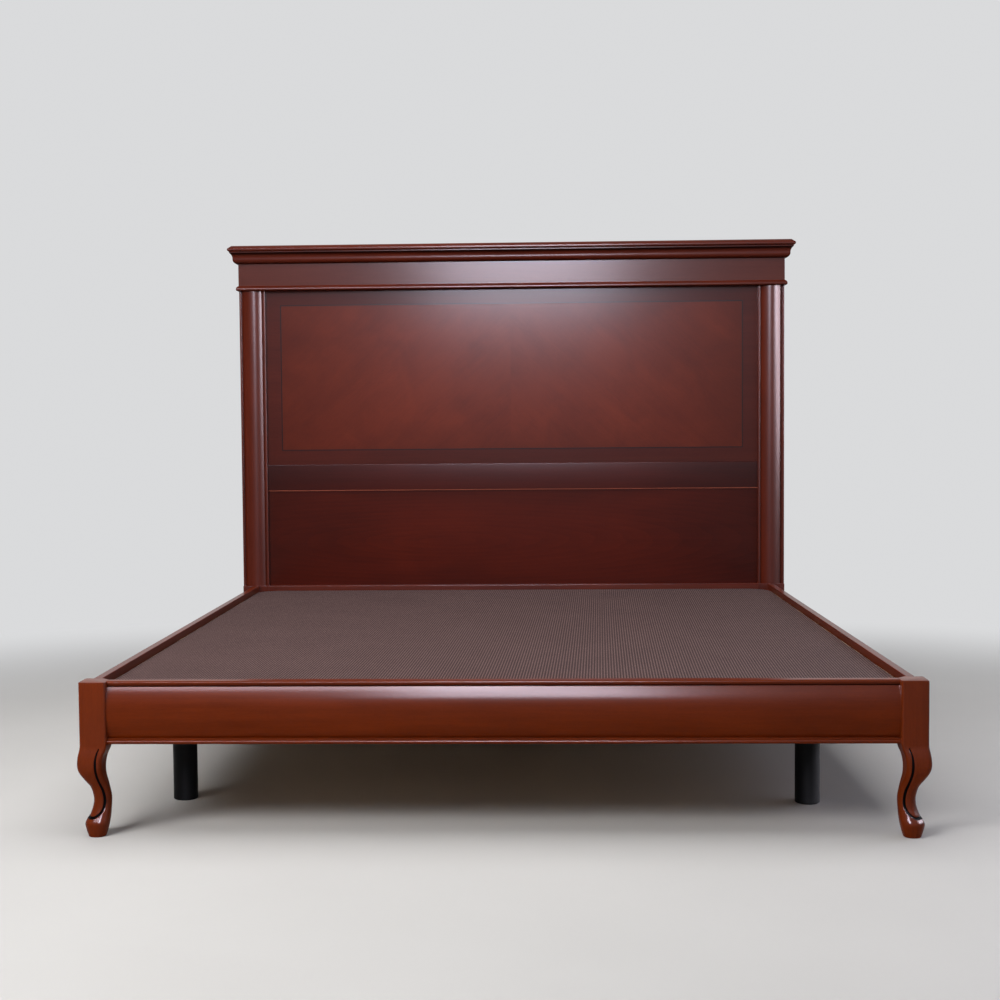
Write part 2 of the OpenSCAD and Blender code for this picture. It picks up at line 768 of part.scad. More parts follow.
// One ring of the cabriole curve: a square with round corners, offset from the block's outer corner
function leg_ring(t, z, trim = 0) =
    let (outer = curve(leg_outer_curve, t) + trim,
         inner = leg_w - curve(leg_inner_curve, t) - trim,
         c = (outer + inner) / 2,
         h = (inner - outer) / 2,
         r = h * curve(leg_round_curve, t))
    [for (k = [0:3], j = [0:leg_corner_steps])
        let (a = k * 90 + j * 90 / leg_corner_steps, sx = (k == 0 || k == 3) ? 1 : -1, sy = k < 2 ? 1 : -1)
        [c + sx * (h - r) + r * cos(a), c + sy * (h - r) + r * sin(a), z]];

// The curved part of a leg, with its outer corner at the origin, x and y pointing in, reaching a little
// way up inside the block
module cabriole_curve() {
    lap = 8;
    trim = 0.1;
    rings = concat([for (i = [0:leg_rings]) leg_ring(i / leg_rings, rail_low * i / leg_rings,
                                                     i == leg_rings ? trim : 0)],
                   [leg_ring(1, rail_low + lap, trim)]);
    n = len(rings[0]);
    m = len(rings);
    polyhedron(
        points = [for (ring = rings, p = ring) p],
        faces = concat(
            [[for (j = [0:n - 1]) j]],
            [[for (j = [n - 1:-1:0]) (m - 1) * n + j]],
            [for (i = [0:m - 2], j = [0:n - 1])
                [i * n + j, (i + 1) * n + j, (i + 1) * n + (j + 1) % n]],
            [for (i = [0:m - 2], j = [0:n - 1])
                [i * n + j, (i + 1) * n + (j + 1) % n, i * n + (j + 1) % n]]
        )
    );
}

// Only the part of the block beside the mattress has its inner corner cut
module cabriole_leg(side) {
    cut_low = ledger_low - 5;
    color(mahogany) place() difference() {
        mirror([side < 0 ? 1 : 0, 0, 0]) translate([leg_x1, 0, 0]) mirror([1, 0, 0]) {
            difference() {
                translate([0, 0, rail_low]) linear_extrude(rail_h)
                    round_rect([0, 0], [leg_w, leg_w], leg_edge_r);
                translate([0, 0, cut_low]) linear_extrude(rail_top)
                    polygon([[leg_w + eps, leg_w - leg_corner_cut - eps], [leg_w + eps, leg_w + eps],
                             [leg_w - leg_corner_cut - eps, leg_w + eps]]);
            }
            cabriole_curve();
        }
        foot_dowel_set(hole_gap);
        at_fitting(side, "foot") fitting_post_cut();
    }
}

module side_ledger(side) {
    color(pine) place() difference() {
        mirror([side < 0 ? 1 : 0, 0, 0])
            box([rail_x0 - ledger_w, platform_cy - side_ledger_half, ledger_low],
                [rail_x0, platform_cy + side_ledger_half, ledger_top]);
        side_ledger_screws(side) screw_hole(ledger_screw);
    }
}

module foot_ledger() {
    color(pine) place() difference() {
        box([-end_ledger_half, foot_in_y, ledger_low], [end_ledger_half, foot_in_y + ledger_w, ledger_top]);
        end_ledger_screws(foot_in_y, -1) screw_hole(ledger_screw);
    }
}

module head_ledger() {
    color(pine) place() difference() {
        box([-end_ledger_half, bottom_rail_y - ledger_w, ledger_low],
            [end_ledger_half, bottom_rail_y, ledger_top]);
        end_ledger_screws(bottom_rail_y, 1) screw_hole(ledger_screw);
    }
}

module ledger_screws() {
    color(steel) place() {
        side_ledger_screws(-1) screw(ledger_screw);
        side_ledger_screws(1) screw(ledger_screw);
        end_ledger_screws(foot_in_y, -1) screw(ledger_screw);
        end_ledger_screws(bottom_rail_y, 1) screw(ledger_screw);
    }
}

// Platform

module platform_plan(x, y0, y1, r) {
    round_rect([-x, y0], [x, y1], r);
}

module fabric_cover() {
    color(taupe) place() difference() {
        translate([0, 0, platform_low]) linear_extrude(fabric_top - platform_low)
            platform_plan(platform_x, platform_y0, platform_y1, corner_r);
        translate([0, 0, platform_low - eps]) linear_extrude(deck_top - platform_low + eps)
            platform_plan(inner_x, inner_y0, inner_y1, inner_r);
    }
}

module deck_board(side) {
    joint = 0.5;
    color(plywood) place() mirror([side < 0 ? 1 : 0, 0, 0]) translate([0, 0, deck_low])
        linear_extrude(deck_t) intersection() {
            platform_plan(inner_x, inner_y0, inner_y1, inner_r);
            translate([joint, inner_y0 - eps]) square([inner_x, inner_y1 - inner_y0 + 2 * eps]);
        }
}

module platform_side_battens() {
    color(pine) place() for (side = [-1, 1]) mirror([side < 0 ? 1 : 0, 0, 0])
        box([inner_x - batten_t, inner_y0 + inner_r, platform_low], [inner_x, inner_y1 - inner_r, deck_low]);
}

module platform_end_battens() {
    color(pine) place() {
        box([-inner_x + inner_r, inner_y0, platform_low], [inner_x - inner_r, inner_y0 + batten_t, deck_low]);
        box([-inner_x + inner_r, inner_y1 - batten_t, platform_low], [inner_x - inner_r, inner_y1, deck_low]);
    }
}

// Quarter-round blocks that turn the platform's corners
module platform_corner_blocks() {
    color(pine) place() translate([0, 0, platform_low]) linear_extrude(batten_h)
        for (sx = [-1, 1], end = [[inner_y0, 1], [inner_y1, -1]])
            translate([sx * (inner_x - inner_r), end[0] + end[1] * inner_r]) intersection() {
                circle(inner_r);
                mirror([sx < 0 ? 1 : 0, 0]) mirror([0, end[1] > 0 ? 1 : 0]) square(inner_r);
            }
}

module platform_bearers() {
    color(pine) place() difference() {
        for (b = bearers)
            box([-inner_x + batten_t, b[0] - b[1] / 2, platform_low],
                [inner_x - batten_t, b[0] + b[1] / 2, platform_low + bearer_t]);
        at_plate_screws() screw_hole(plate_screw);
    }
}

module platform_stringers() {
    color(pine) place() for (x = [-inner_x / 2, 0, inner_x / 2])
        box([x - stringer_w / 2, inner_y0 + batten_t, platform_low + bearer_t],
            [x + stringer_w / 2, inner_y1 - batten_t, deck_low]);
}

// Four screws up through the corners of each plate
module at_plate_screws() {
    d = plate_w / 2 - plate_screw_in;
    for (p = support_places, sx = [-1, 1], sy = [-1, 1])
        translate([p.x + sx * d, p.y + sy * d, platform_low - plate_t]) children();
}

module support_plates() {
    color(steel) place() difference() {
        for (p = support_places) translate([p.x, p.y, platform_low - plate_t]) {
            translate([-plate_w / 2, -plate_w / 2, 0]) cube([plate_w, plate_w, plate_t]);
            translate([0, 0, -stud_l]) cylinder(h = stud_l + plate_t, r = stud_r);
        }
        at_plate_screws() screw_hole(plate_screw);
    }
}

module plate_screws() {
    color(steel) place() at_plate_screws() screw(plate_screw);
}

// A plain black leg with a softened foot and a bore for the plate's stud
module support_leg(p) {
    top = platform_low - plate_t;
    r = support_d / 2;
    edge = support_edge_r;
    color(black_plastic) place() translate([p.x, p.y, 0]) difference() {
        rotate_extrude() {
            translate([0, edge]) square([r, top - edge]);
            square([r - edge, edge + eps]);
            translate([r - edge, edge]) circle(edge);
        }
        translate([0, 0, top - stud_l - 1]) cylinder(h = stud_l + 1 + eps, r = stud_r + hole_gap);
    }
}

cornice_cap();
crown_front();
crown_return(-1);  // crown_left_return
crown_return(1);  // crown_right_return
frieze_board();
frieze_bead_front();
frieze_bead_return(-1);  // frieze_bead_left_return
frieze_bead_return(1);  // frieze_bead_right_return
top_rail();
stile(-1);  // left_stile
stile(1);  // right_stile
plinth(-1);  // left_plinth
plinth(1);  // right_plinth
pilaster(-1);  // left_pilaster
pilaster(1);  // right_pilaster
upper_panel();
veneer_leaf(-1);  // left_veneer_leaf
veneer_leaf(1);  // right_veneer_leaf
inlaid_line();
banding();
mid_rail();
lower_panel();
lower_veneer();
bottom_rail();
headboard_dowels();
side_rail(-1);  // left_side_rail
side_rail(1);  // right_side_rail
foot_board();
foot_moulded_face();
foot_top_bead();
foot_low_bead();
foot_dowels();
cabriole_leg(-1);  // left_cabriole_leg
cabriole_leg(1);  // right_cabriole_leg
side_ledger(-1);  // left_ledger
side_ledger(1);  // right_ledger
foot_ledger();
head_ledger();
ledger_screws();
rail_hook_plates();
post_slot_plates();
fitting_screws();
fabric_cover();
deck_board(-1);  // left_deck_board
deck_board(1);  // right_deck_board
platform_side_battens();
platform_end_battens();
platform_corner_blocks();
platform_bearers();
platform_stringers();
support_plates();
plate_screws();
support_leg(front_left_place);  // front_left_support_leg
support_leg(front_right_place);  // front_right_support_leg
support_leg(rear_left_place);  // rear_left_support_leg
support_leg(rear_right_place);  // rear_right_support_leg
support_leg(centre_place);  // centre_support_leg
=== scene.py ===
"""Looks of a classic double bed: satin mahogany frame and headboard, cabriole legs and a fabric platform.

Every length is written in millimetres in the layout of the part's source: the front legs' faces at y = 0,
the headboard at the far end, the floor at z = 0. Meshes turn it into metres with the origin in the middle of
the bed's length, MID_Y. Left and right are as seen from the foot end.
"""
import logging
import math
from dataclasses import dataclass, field
from enum import Enum

import bpy
import numpy as np
from mathutils import Matrix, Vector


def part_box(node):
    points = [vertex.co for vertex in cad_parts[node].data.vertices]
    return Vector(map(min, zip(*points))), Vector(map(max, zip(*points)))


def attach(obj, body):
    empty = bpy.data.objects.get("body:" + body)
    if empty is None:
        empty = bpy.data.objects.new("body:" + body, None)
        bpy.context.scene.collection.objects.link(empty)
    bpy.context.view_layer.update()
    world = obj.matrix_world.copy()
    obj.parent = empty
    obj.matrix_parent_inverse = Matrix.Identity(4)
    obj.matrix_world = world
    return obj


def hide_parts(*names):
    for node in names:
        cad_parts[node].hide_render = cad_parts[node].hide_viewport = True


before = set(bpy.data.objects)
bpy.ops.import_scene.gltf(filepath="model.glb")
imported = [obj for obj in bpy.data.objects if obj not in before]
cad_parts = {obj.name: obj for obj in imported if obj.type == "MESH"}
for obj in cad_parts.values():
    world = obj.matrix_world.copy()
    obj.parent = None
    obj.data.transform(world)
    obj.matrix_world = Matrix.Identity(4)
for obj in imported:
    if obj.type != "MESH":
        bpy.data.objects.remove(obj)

log = logging.getLogger("bed")
Array = np.ndarray
Colour = tuple[float, float, float]
MM = 0.001
MID_Y = 1055.75
BEVEL_FROM_DEG = 34.0


class Grain(Enum):
    """The way the wood's grain runs on a piece, as the turn about x, y and z that lays it along x."""

    ALONG_X = (0.0, 0.0, 0.0)
    ALONG_Y = (0.0, 0.0, -90.0)
    ALONG_Z = (0.0, 90.0, 0.0)
    RISING = (0.0, 42.0, 0.0)
    FALLING = (0.0, -42.0, 0.0)


class Side(Enum):
    """Left or right, with the sign of x there."""

    LEFT = -1
    RIGHT = 1


# Meshes


def to_metres(points: Array) -> Array:
    """Turns layout points in millimetres into the shared frame in metres.

    Args:
        points: Array of shape (n, 3).

    Returns:
        The same points, less the bed's middle along y, times a thousandth.
    """
    return (np.asarray(points, float) - np.array([0.0, MID_Y, 0.0])) * MM


def signed_volume(points: Array, faces: list) -> float:
    """Sums the volumes of the tetrahedra from the origin to each fan triangle of each face.

    Args:
        points: Array of shape (n, 3).
        faces: Vertex numbers of each face.

    Returns:
        A positive number where the faces point outwards.
    """
    total = 0.0
    for size in sorted({len(f) for f in faces}):
        group = np.array([f for f in faces if len(f) == size])
        first = points[group[:, :1]]
        fans = np.cross(points[group[:, 1:-1]], points[group[:, 2:]])
        total += float((first * fans).sum())
    return total / 6.0


def make_piece(name: str, points: Array, faces: list, sharp: float = 32.0) -> bpy.types.Object:
    """Puts points and faces into a new mesh object at the origin, smooth apart from its sharp edges.

    Args:
        name: The piece's name.
        points: Layout points in millimetres, shape (n, 3).
        faces: Vertex numbers of each face.
        sharp: Angle in degrees above which an edge stays sharp.

    Returns:
        The new object.
    """
    place = to_metres(points)
    if signed_volume(place, faces) < 0:
        faces = [f[::-1] for f in faces]
    mesh = bpy.data.meshes.new(name)
    mesh.from_pydata(place.tolist(), [], faces)
    mesh.update()
    mesh.polygons.foreach_set("use_smooth", np.ones(len(mesh.polygons), bool))
    mesh.set_sharp_from_angle(angle=math.radians(sharp))
    piece = bpy.data.objects.new(name, mesh)
    bpy.context.scene.collection.objects.link(piece)
    return piece


def ring_faces(rings: int, around: int, ends: bool = True) -> list:
    """Faces of a grid of closed rings: face (i, j) joins points j and j + 1 of rings i and i + 1.

    Args:
        rings: Number of rings.
        around: Points in each ring.
        ends: Whether the first and last ring are closed with one face each.

    Returns:
        Vertex numbers of each face.
    """
    i, j = np.meshgrid(np.arange(rings - 1), np.arange(around), indexing="ij")
    nxt = (j + 1) % around
    quads = np.stack([i * around + j, i * around + nxt, (i + 1) * around + nxt, (i + 1) * around + j], -1)
    faces = quads.reshape(-1, 4).tolist()
    if ends:
        faces.append(np.arange(around)[::-1].tolist())
        faces.append((np.arange(around) + (rings - 1) * around).tolist())
    return faces


def arc(cu: float, cv: float, r: float, a0: float, a1: float, steps: int) -> Array:
    """Points on a circle: the centre plus r (cos a, sin a), with a going evenly from a0 to a1 in degrees."""
    a = np.radians(np.linspace(a0, a1, steps))
    return np.stack([cu + r * np.cos(a), cv + r * np.sin(a)], -1)


def soften(piece: bpy.types.Object, width: float, segments: int = 3) -> bpy.types.Object:
    """Rounds off a piece's sharp edges.

    Args:
        piece: The object.
        width: Width of the rounding in millimetres.
        segments: Steps across the rounding.

    Returns:
        The same object.
    """
    bevel = piece.modifiers.new("soft_edges", "BEVEL")
    bevel.width = width * MM
    bevel.segments = segments
    bevel.limit_method = "ANGLE"
    bevel.angle_limit = math.radians(BEVEL_FROM_DEG)
    bevel.harden_normals = True
    return piece


@dataclass(frozen=True)
class Run:
    """A straight run of a moulding: its origin and the directions of its length, reach and height."""

    origin: tuple[float, float, float]
    along: tuple[float, float, float]
    reach: tuple[float, float, float]
    up: tuple[float, float, float]

    def sweep(self, name: str, profile: Array, start: float, end: float, mitre: tuple[float, float] = (0, 0),
              edge: float = 0.8) -> bpy.types.Object:
        """Carries a profile along the run.

        The point of profile point (u, v) at length s is origin + s along + u reach + v up, where s goes from
        start + mitre[0] u to end + mitre[1] u, so that a mitre of 1 or -1 cuts that end at 45 degrees.

        Args:
            name: The piece's name.
            profile: Closed outline of (reach, height), shape (n, 2).
            start: Length at the first end.
            end: Length at the last end.
            mitre: Growth of each end's length with the reach.
            edge: Width of the softened edges, 0 for none.

        Returns:
            The new object.
        """
        u, v = profile[:, 0:1], profile[:, 1:2]
        flat = np.array(self.origin) + u * np.array(self.reach) + v * np.array(self.up)
        ends = ((start, mitre[0]), (end, mitre[1]))
        rings = [flat + (at + k * u) * np.array(self.along) for at, k in ends]
        piece = make_piece(name, np.concatenate(rings), ring_faces(2, len(profile)))
        return soften(piece, edge) if edge else piece


def mark(piece: bpy.types.Object, layer_name: str, amount: Array) -> None:
    """Stores one value for each point of a swept outline, the same at both of its ends."""
    layer = piece.data.attributes.new(layer_name, "FLOAT", "POINT")
    layer.data.foreach_set("value", np.tile(amount, 2).astype(np.float32))


def board(name: str, low: tuple, high: tuple, edge: float = 1.0) -> bpy.types.Object:
    """A board between two corners of the layout: its outline in (y, z), carried along x.

    Args:
        name: The piece's name.
        low: Lowest corner (x, y, z).
        high: Highest corner.
        edge: Width of the softened edges.

    Returns:
        The new object.
    """
    run = Run((0, 0, 0), (1, 0, 0), (0, 1, 0), (0, 0, 1))
    outline = np.array([[low[1], low[2]], [high[1], low[2]], [high[1], high[2]], [low[1], high[2]]], float)
    return run.sweep(name, outline, low[0], high[0], edge=edge)


def curve_at(points: list, t: Array) -> Array:
    """Smooth line through (t, value) points: cubic spans that take a point's slope from its two neighbours.

    Args:
        points: The curve's points, with t rising.
        t: Where to read it.

    Returns:
        The values at t.
    """
    k, v = np.array(points, float).T
    slope = np.empty_like(v)
    slope[1:-1] = (v[2:] - v[:-2]) / (k[2:] - k[:-2])
    slope[0] = (v[1] - v[0]) / (k[1] - k[0])
    slope[-1] = (v[-1] - v[-2]) / (k[-1] - k[-2])
    i = np.clip(np.searchsorted(k, t, side="right") - 1, 0, len(k) - 2)
    w = k[i + 1] - k[i]
    u = (t - k[i]) / w
    return ((2 * u**3 - 3 * u**2 + 1) * v[i] + (u**3 - 2 * u**2 + u) * w * slope[i]
            + (3 * u**2 - 2 * u**3) * v[i + 1] + (u**3 - u**2) * w * slope[i + 1])


# Finishes


class Graph:
    """A material's node tree, with short calls that add and join its nodes."""

    def __init__(self, name: str) -> None:
        """Makes an empty material of that name with a principled shader."""
        self.material = bpy.data.materials.new(name)
        self.material.use_nodes = True
        self.tree = self.material.node_tree
        self.shader = self.tree.nodes["Principled BSDF"]
        self.place = self.tree.nodes.new("ShaderNodeTexCoord").outputs["Object"]

    def add(self, kind: str, **values: object) -> bpy.types.Node:
        """Adds a node.

        Args:
            kind: The node's type.
            **values: Properties by name, and inputs by i and their number.

        Returns:
            The new node.
        """
        node = self.tree.nodes.new(kind)
        for key, value in values.items():
            target = (node.inputs[int(key[1:])] if key[0] == "i" and key[1:].isdigit() else None)
            if target is None:
                setattr(node, key, value)
            elif isinstance(value, bpy.types.NodeSocket):
                self.tree.links.new(value, target)
            else:
                target.default_value = value
        return node

    def math(self, operation: str, a: object, b: object = 0.0) -> bpy.types.NodeSocket:
        """The result of one sum on two numbers or sockets."""
        return self.add("ShaderNodeMath", operation=operation, i0=a, i1=b).outputs[0]

    def spread(self, source: bpy.types.NodeSocket, scale: tuple, turn: tuple = (0, 0, 0),
               shift: tuple = (0, 0, 0)) -> bpy.types.NodeSocket:
        """Coordinates turned by degrees, then stretched by scale and shifted."""
        turned = self.add("ShaderNodeMapping", i0=source, i2=tuple(math.radians(a) for a in turn)).outputs[0]
        return self.add("ShaderNodeMapping", i0=turned, i1=shift, i3=scale).outputs[0]

    def noise(self, source: bpy.types.NodeSocket, detail: float = 3.0, roughness: float = 0.55,
              distortion: float = 0.0) -> bpy.types.NodeSocket:
        """Noise of scale 1 on coordinates that are already stretched."""
        node = self.add("ShaderNodeTexNoise", i0=source, i2=1.0, i3=detail, i4=roughness)
        node.inputs["Distortion"].default_value = distortion
        return node.outputs["Fac"]

    def ramp(self, factor: bpy.types.NodeSocket, stops: list) -> bpy.types.NodeSocket:
        """Blends along a line of stops.

        Args:
            factor: Where on the line to read, from 0 to 1.
            stops: Pairs of place and colour or grey level.

        Returns:
            The colour there.
        """
        node = self.add("ShaderNodeValToRGB", i0=factor)
        elements = node.color_ramp.elements
        while len(elements) < len(stops):
            elements.new(0.5)
        for element, (at, colour) in zip(elements, stops):
            element.position = at
            element.color = (*colour, 1.0) if isinstance(colour, tuple) else (colour, colour, colour, 1.0)
        return node.outputs[0]

    def mix(self, factor: object, a: object, b: object, blend: str = "MIX") -> bpy.types.NodeSocket:
        """Mixes two colours.

        Args:
            factor: Share of the second colour.
            a: First colour or socket.
            b: Second colour or socket.
            blend: How the second is laid over the first.

        Returns:
            The mixed colour.
        """
        node = self.add("ShaderNodeMix", data_type="RGBA", blend_type=blend)
        for at, value in ((0, factor), (6, a), (7, b)):
            if isinstance(value, bpy.types.NodeSocket):
                self.tree.links.new(value, node.inputs[at])
            else:
                node.inputs[at].default_value = (*value, 1.0) if isinstance(value, tuple) else value
        return node.outputs[2]

    def bump(self, height: bpy.types.NodeSocket, distance: float, strength: float = 1.0,
             under: bpy.types.NodeSocket | None = None) -> bpy.types.NodeSocket:
        """Bumps the surface by height times distance.

        Args:
            height: Height from 0 to 1.
            distance: Full height in metres.
            strength: Share of the effect.
            under: Normal of a bump below this one.

        Returns:
            The bumped normal.
        """
        node = self.add("ShaderNodeBump")
        node.inputs["Strength"].default_value = strength
        node.inputs["Distance"].default_value = distance
        self.tree.links.new(height, node.inputs["Height"])
        if under is not None:
            self.tree.links.new(under, node.inputs["Normal"])
        return node.outputs[0]

    def wire(self, **inputs: object) -> bpy.types.Material:
        """Sets the shader's inputs: a socket is joined, and a number or colour is set on the shader itself.

        Args:
            **inputs: Input names in lower case with _ for spaces.

        Returns:
            The finished material.
        """
        names = {i.name.lower().replace(" ", "_"): i for i in self.shader.inputs}
        for key, value in inputs.items():
            if isinstance(value, bpy.types.NodeSocket):
                self.tree.links.new(value, names[key])
            else:
                names[key].default_value = (*value, 1.0) if isinstance(value, tuple) else value
        return self.material


@dataclass(frozen=True)
class PaintedEdgeShade:
    """Painted shade that darkens a sheet towards its edges, where less light falls, with lengths in metres.
    """

    half_x: float
    mid_z: float
    half_z: float
    low: float
    start: float = 0.45
    z_share: float = 0.8

    def factor(self, g: Graph) -> bpy.types.NodeSocket:
        """The level of the painted shade.

        It falls from 1 at the start of the darkening to its lowest level at the edge, over a way that is the
        greater of |x| / half width and |z - middle| / half height times its share.

        Args:
            g: The material's graph.

        Returns:
            The factor that multiplies the colour.
        """
        place = g.add("ShaderNodeSeparateXYZ", i0=g.place)
        x = g.math("DIVIDE", g.math("ABSOLUTE", place.outputs[0]), self.half_x)
        rise = g.math("ABSOLUTE", g.math("SUBTRACT", place.outputs[2], self.mid_z))
        z = g.math("DIVIDE", rise, self.half_z)
        way = g.math("MAXIMUM", x, g.math("MULTIPLY", z, self.z_share))
        return g.ramp(way, [(self.start, 1.0), (1.0, self.low)])


LONG_STREAK_SCALE = (2.2, 34.0, 34.0)
FINE_STREAK_SCALE = (7.0, 230.0, 230.0)
PORE_SCALE = (90.0, 1500.0, 1500.0)
PORE_SHADE = (0.35, 0.3, 0.28)
PORE_DEPTH = 0.00004
# Painted shade: near-black colour for recesses and the undersides of mouldings.
PAINTED_SHADE = (0.006, 0.0015, 0.001)
# Painted highlight: pale colour for a lit line along an edge.
PAINTED_EDGE_HIGHLIGHT = (0.34, 0.085, 0.05)
SCROLL_BLACK = (0.002, 0.0012, 0.001)
WHITE = (1.0, 1.0, 1.0)


@dataclass(frozen=True)
class Mahogany:
    """Stained and satin lacquered mahogany."""

    name: str
    light: Colour
    dark: Colour
    grain: Grain
    streaks: float = 0.5
    clouds: float = 0.5
    arches: float = 0.0
    cloud_scale: tuple[float, float, float] = (2.6, 6.5, 6.5)
    roughness: float = 0.42
    coat: float = 0.125
    grazing_coat: float = 0.5
    coat_roughness: float = 0.18
    specular: float = 0.01
    seed: float = 0.0
    groove: bool = False
    # Painted shade in recesses and under overhangs, read from a point attribute.
    glazed: bool = False
    # Painted highlight along an edge marked by a point attribute.
    worn: bool = False
    # Painted shade that darkens a sheet towards its edges.
    painted_edge_shade: PaintedEdgeShade | None = None

    def arch_lines(self, g: Graph) -> bpy.types.NodeSocket:
        """Growth arches of a flat-sawn board: rings about an axis beside the board, flattened and wavy.

        Args:
            g: The material's graph.

        Returns:
            How far each place is between one ring and the next.
        """
        rings = g.spread(g.place, (0.55, 1.0, 4.2), shift=(0.12, 0.0, -2.15))
        wave = g.add("ShaderNodeTexWave", wave_type="RINGS", rings_direction="Y", wave_profile="SAW",
                     i0=rings, i1=5.5)
        wave.inputs["Distortion"].default_value = 2.2
        wave.inputs["Detail"].default_value = 3.0
        wave.inputs["Detail Scale"].default_value = 1.4
        return wave.outputs["Fac"]

    def make(self) -> bpy.types.Material:
        """Builds the material.

        The figure is a weighted sum of long streaks, clouds, fine streaks and, on a flat-sawn board, arches,
        and it blends the dark stain into the light one. Pores darken it and dent the lacquer a little.

        Returns:
            The finished material.
        """
        g = Graph(self.name)
        turn = self.grain.value
        shift = (self.seed * 1.7, self.seed * 3.1, self.seed * 5.3)
        long_streaks = g.noise(g.spread(g.place, LONG_STREAK_SCALE, turn, shift), 5.0, 0.62, 0.25)
        fine_streaks = g.noise(g.spread(g.place, FINE_STREAK_SCALE, turn, shift), 3.0, 0.6)
        pores = g.noise(g.spread(g.place, PORE_SCALE, turn, shift), 2.0, 0.5)
        clouds = g.noise(g.spread(g.place, self.cloud_scale, turn, shift), 4.0, 0.55, 0.6)
        figure = g.math("MULTIPLY", g.math("SUBTRACT", long_streaks, 0.5), 1.5 * self.streaks)
        cloudy = g.math("MULTIPLY", g.math("SUBTRACT", clouds, 0.5), 2.0 * self.clouds)
        figure = g.math("ADD", figure, cloudy)
        fine = g.math("MULTIPLY", g.math("SUBTRACT", fine_streaks, 0.5), 0.15 + 0.6 * self.streaks)
        figure = g.math("ADD", figure, fine)
        if self.arches:
            arches = g.math("MULTIPLY", g.math("SUBTRACT", self.arch_lines(g), 0.5), self.arches)
            figure = g.math("ADD", figure, arches)
        level = g.math("ADD", figure, 0.5)
        colour = g.ramp(level, [(0.05, self.dark), (0.95, self.light)])
        pits = g.ramp(pores, [(0.36, 0.0), (0.5, 1.0)])
        colour = g.mix(0.18, colour, g.mix(pits, PORE_SHADE, WHITE), "MULTIPLY")
        # Painted shade towards the sheet's edges.
        if self.painted_edge_shade:
            colour = g.mix(1.0, colour, self.painted_edge_shade.factor(g), "MULTIPLY")
        rough = g.ramp(long_streaks, [(0.25, self.roughness - 0.03), (0.75, self.roughness + 0.03)])
        relief = g.bump(pits, PORE_DEPTH, 0.3)
        turned_away = g.add("ShaderNodeLayerWeight", i0=0.5).outputs["Facing"]
        coat = g.ramp(turned_away, [(0.45, self.coat), (0.85, self.grazing_coat)])
        # Painted shade: darkens the colour and lowers the coat where the point attribute marks a recess or
        # an underside.
        if self.glazed:
            glaze = g.add("ShaderNodeAttribute", attribute_name="glaze").outputs["Fac"]
            colour = g.mix(glaze, colour, PAINTED_SHADE)
            coat = g.math("MULTIPLY", coat, g.math("SUBTRACT", 1.0, glaze))
        # Painted highlight: a pale line where the point attribute marks a lit edge.
        if self.worn:
            highlight_share = g.add("ShaderNodeAttribute", attribute_name="worn").outputs["Fac"]
            colour = g.mix(highlight_share, colour, PAINTED_EDGE_HIGHLIGHT)
        if self.groove:
            paint = g.add("ShaderNodeAttribute", attribute_name="groove").outputs["Fac"]
            black = g.ramp(paint, [(0.32, 0.0), (0.5, 1.0)])
            colour = g.mix(black, colour, SCROLL_BLACK)
            coat = g.math("MULTIPLY", coat, g.math("SUBTRACT", 1.0, black))
        return g.wire(base_color=colour, roughness=rough, specular_ior_level=self.specular,
                      coat_weight=coat, coat_roughness=self.coat_roughness, normal=relief)


@dataclass(frozen=True)
class Inlay:
    """Black inlaid line under the same lacquer as the panel."""

    name: str = "inlaid_black_line"
    colour: Colour = (0.008, 0.003, 0.003)

    def make(self) -> bpy.types.Material:
        """Builds the material, with a faint streak along the line.

        Returns:
            The finished material.
        """
        g = Graph(self.name)
        streak = g.noise(g.spread(g.place, (60.0, 60.0, 60.0)), 3.0)
        shade = g.mix(streak, self.colour, tuple(1.8 * c for c in self.colour))
        return g.wire(base_color=shade, roughness=0.3, specular_ior_level=0.02, coat_weight=0.125,
                      coat_roughness=0.18)


@dataclass(frozen=True)
class RawWood:
    """Planed wood with no finish."""

    name: str
    light: Colour
    dark: Colour
    grain: Grain

    def make(self) -> bpy.types.Material:
        """Builds the material: growth lines stretched along the grain, with a few darker ones.

        Returns:
            The finished material.
        """
        g = Graph(self.name)
        lines = g.noise(g.spread(g.place, (1.6, 60.0, 60.0), self.grain.value), 5.0, 0.6, 0.3)
        fibres = g.noise(g.spread(g.place, (20.0, 700.0, 700.0), self.grain.value), 2.0)
        colour = g.ramp(lines, [(0.3, self.dark), (0.62, self.light)])
        colour = g.mix(0.25, colour, g.mix(fibres, (0.55, 0.5, 0.45), WHITE), "MULTIPLY")
        return g.wire(base_color=colour, roughness=0.72, normal=g.bump(fibres, 0.0001, 0.4))


@dataclass(frozen=True)
class Plywood:
    """Plywood seen from below and at its layered edge."""

    name: str = "birch_plywood"
    layer_m: float = 0.002

    def make(self) -> bpy.types.Material:
        """Builds the material: face grain along y, and layers as a sine of the height.

        Returns:
            The finished material.
        """
        g = Graph(self.name)
        face = g.noise(g.spread(g.place, (2.0, 45.0, 4.0), Grain.ALONG_Y.value), 5.0, 0.6, 0.4)
        height = g.add("ShaderNodeSeparateXYZ", i0=g.place).outputs[2]
        layers = g.math("SINE", g.math("MULTIPLY", height, 2 * math.pi / self.layer_m))
        colour = g.ramp(face, [(0.3, (0.42, 0.27, 0.14)), (0.7, (0.62, 0.45, 0.27))])
        colour = g.mix(g.ramp(layers, [(0.0, 0.0), (1.0, 0.25)]), colour, (0.3, 0.17, 0.08))
        return g.wire(base_color=colour, roughness=0.7, normal=g.bump(face, 0.0002, 0.3))


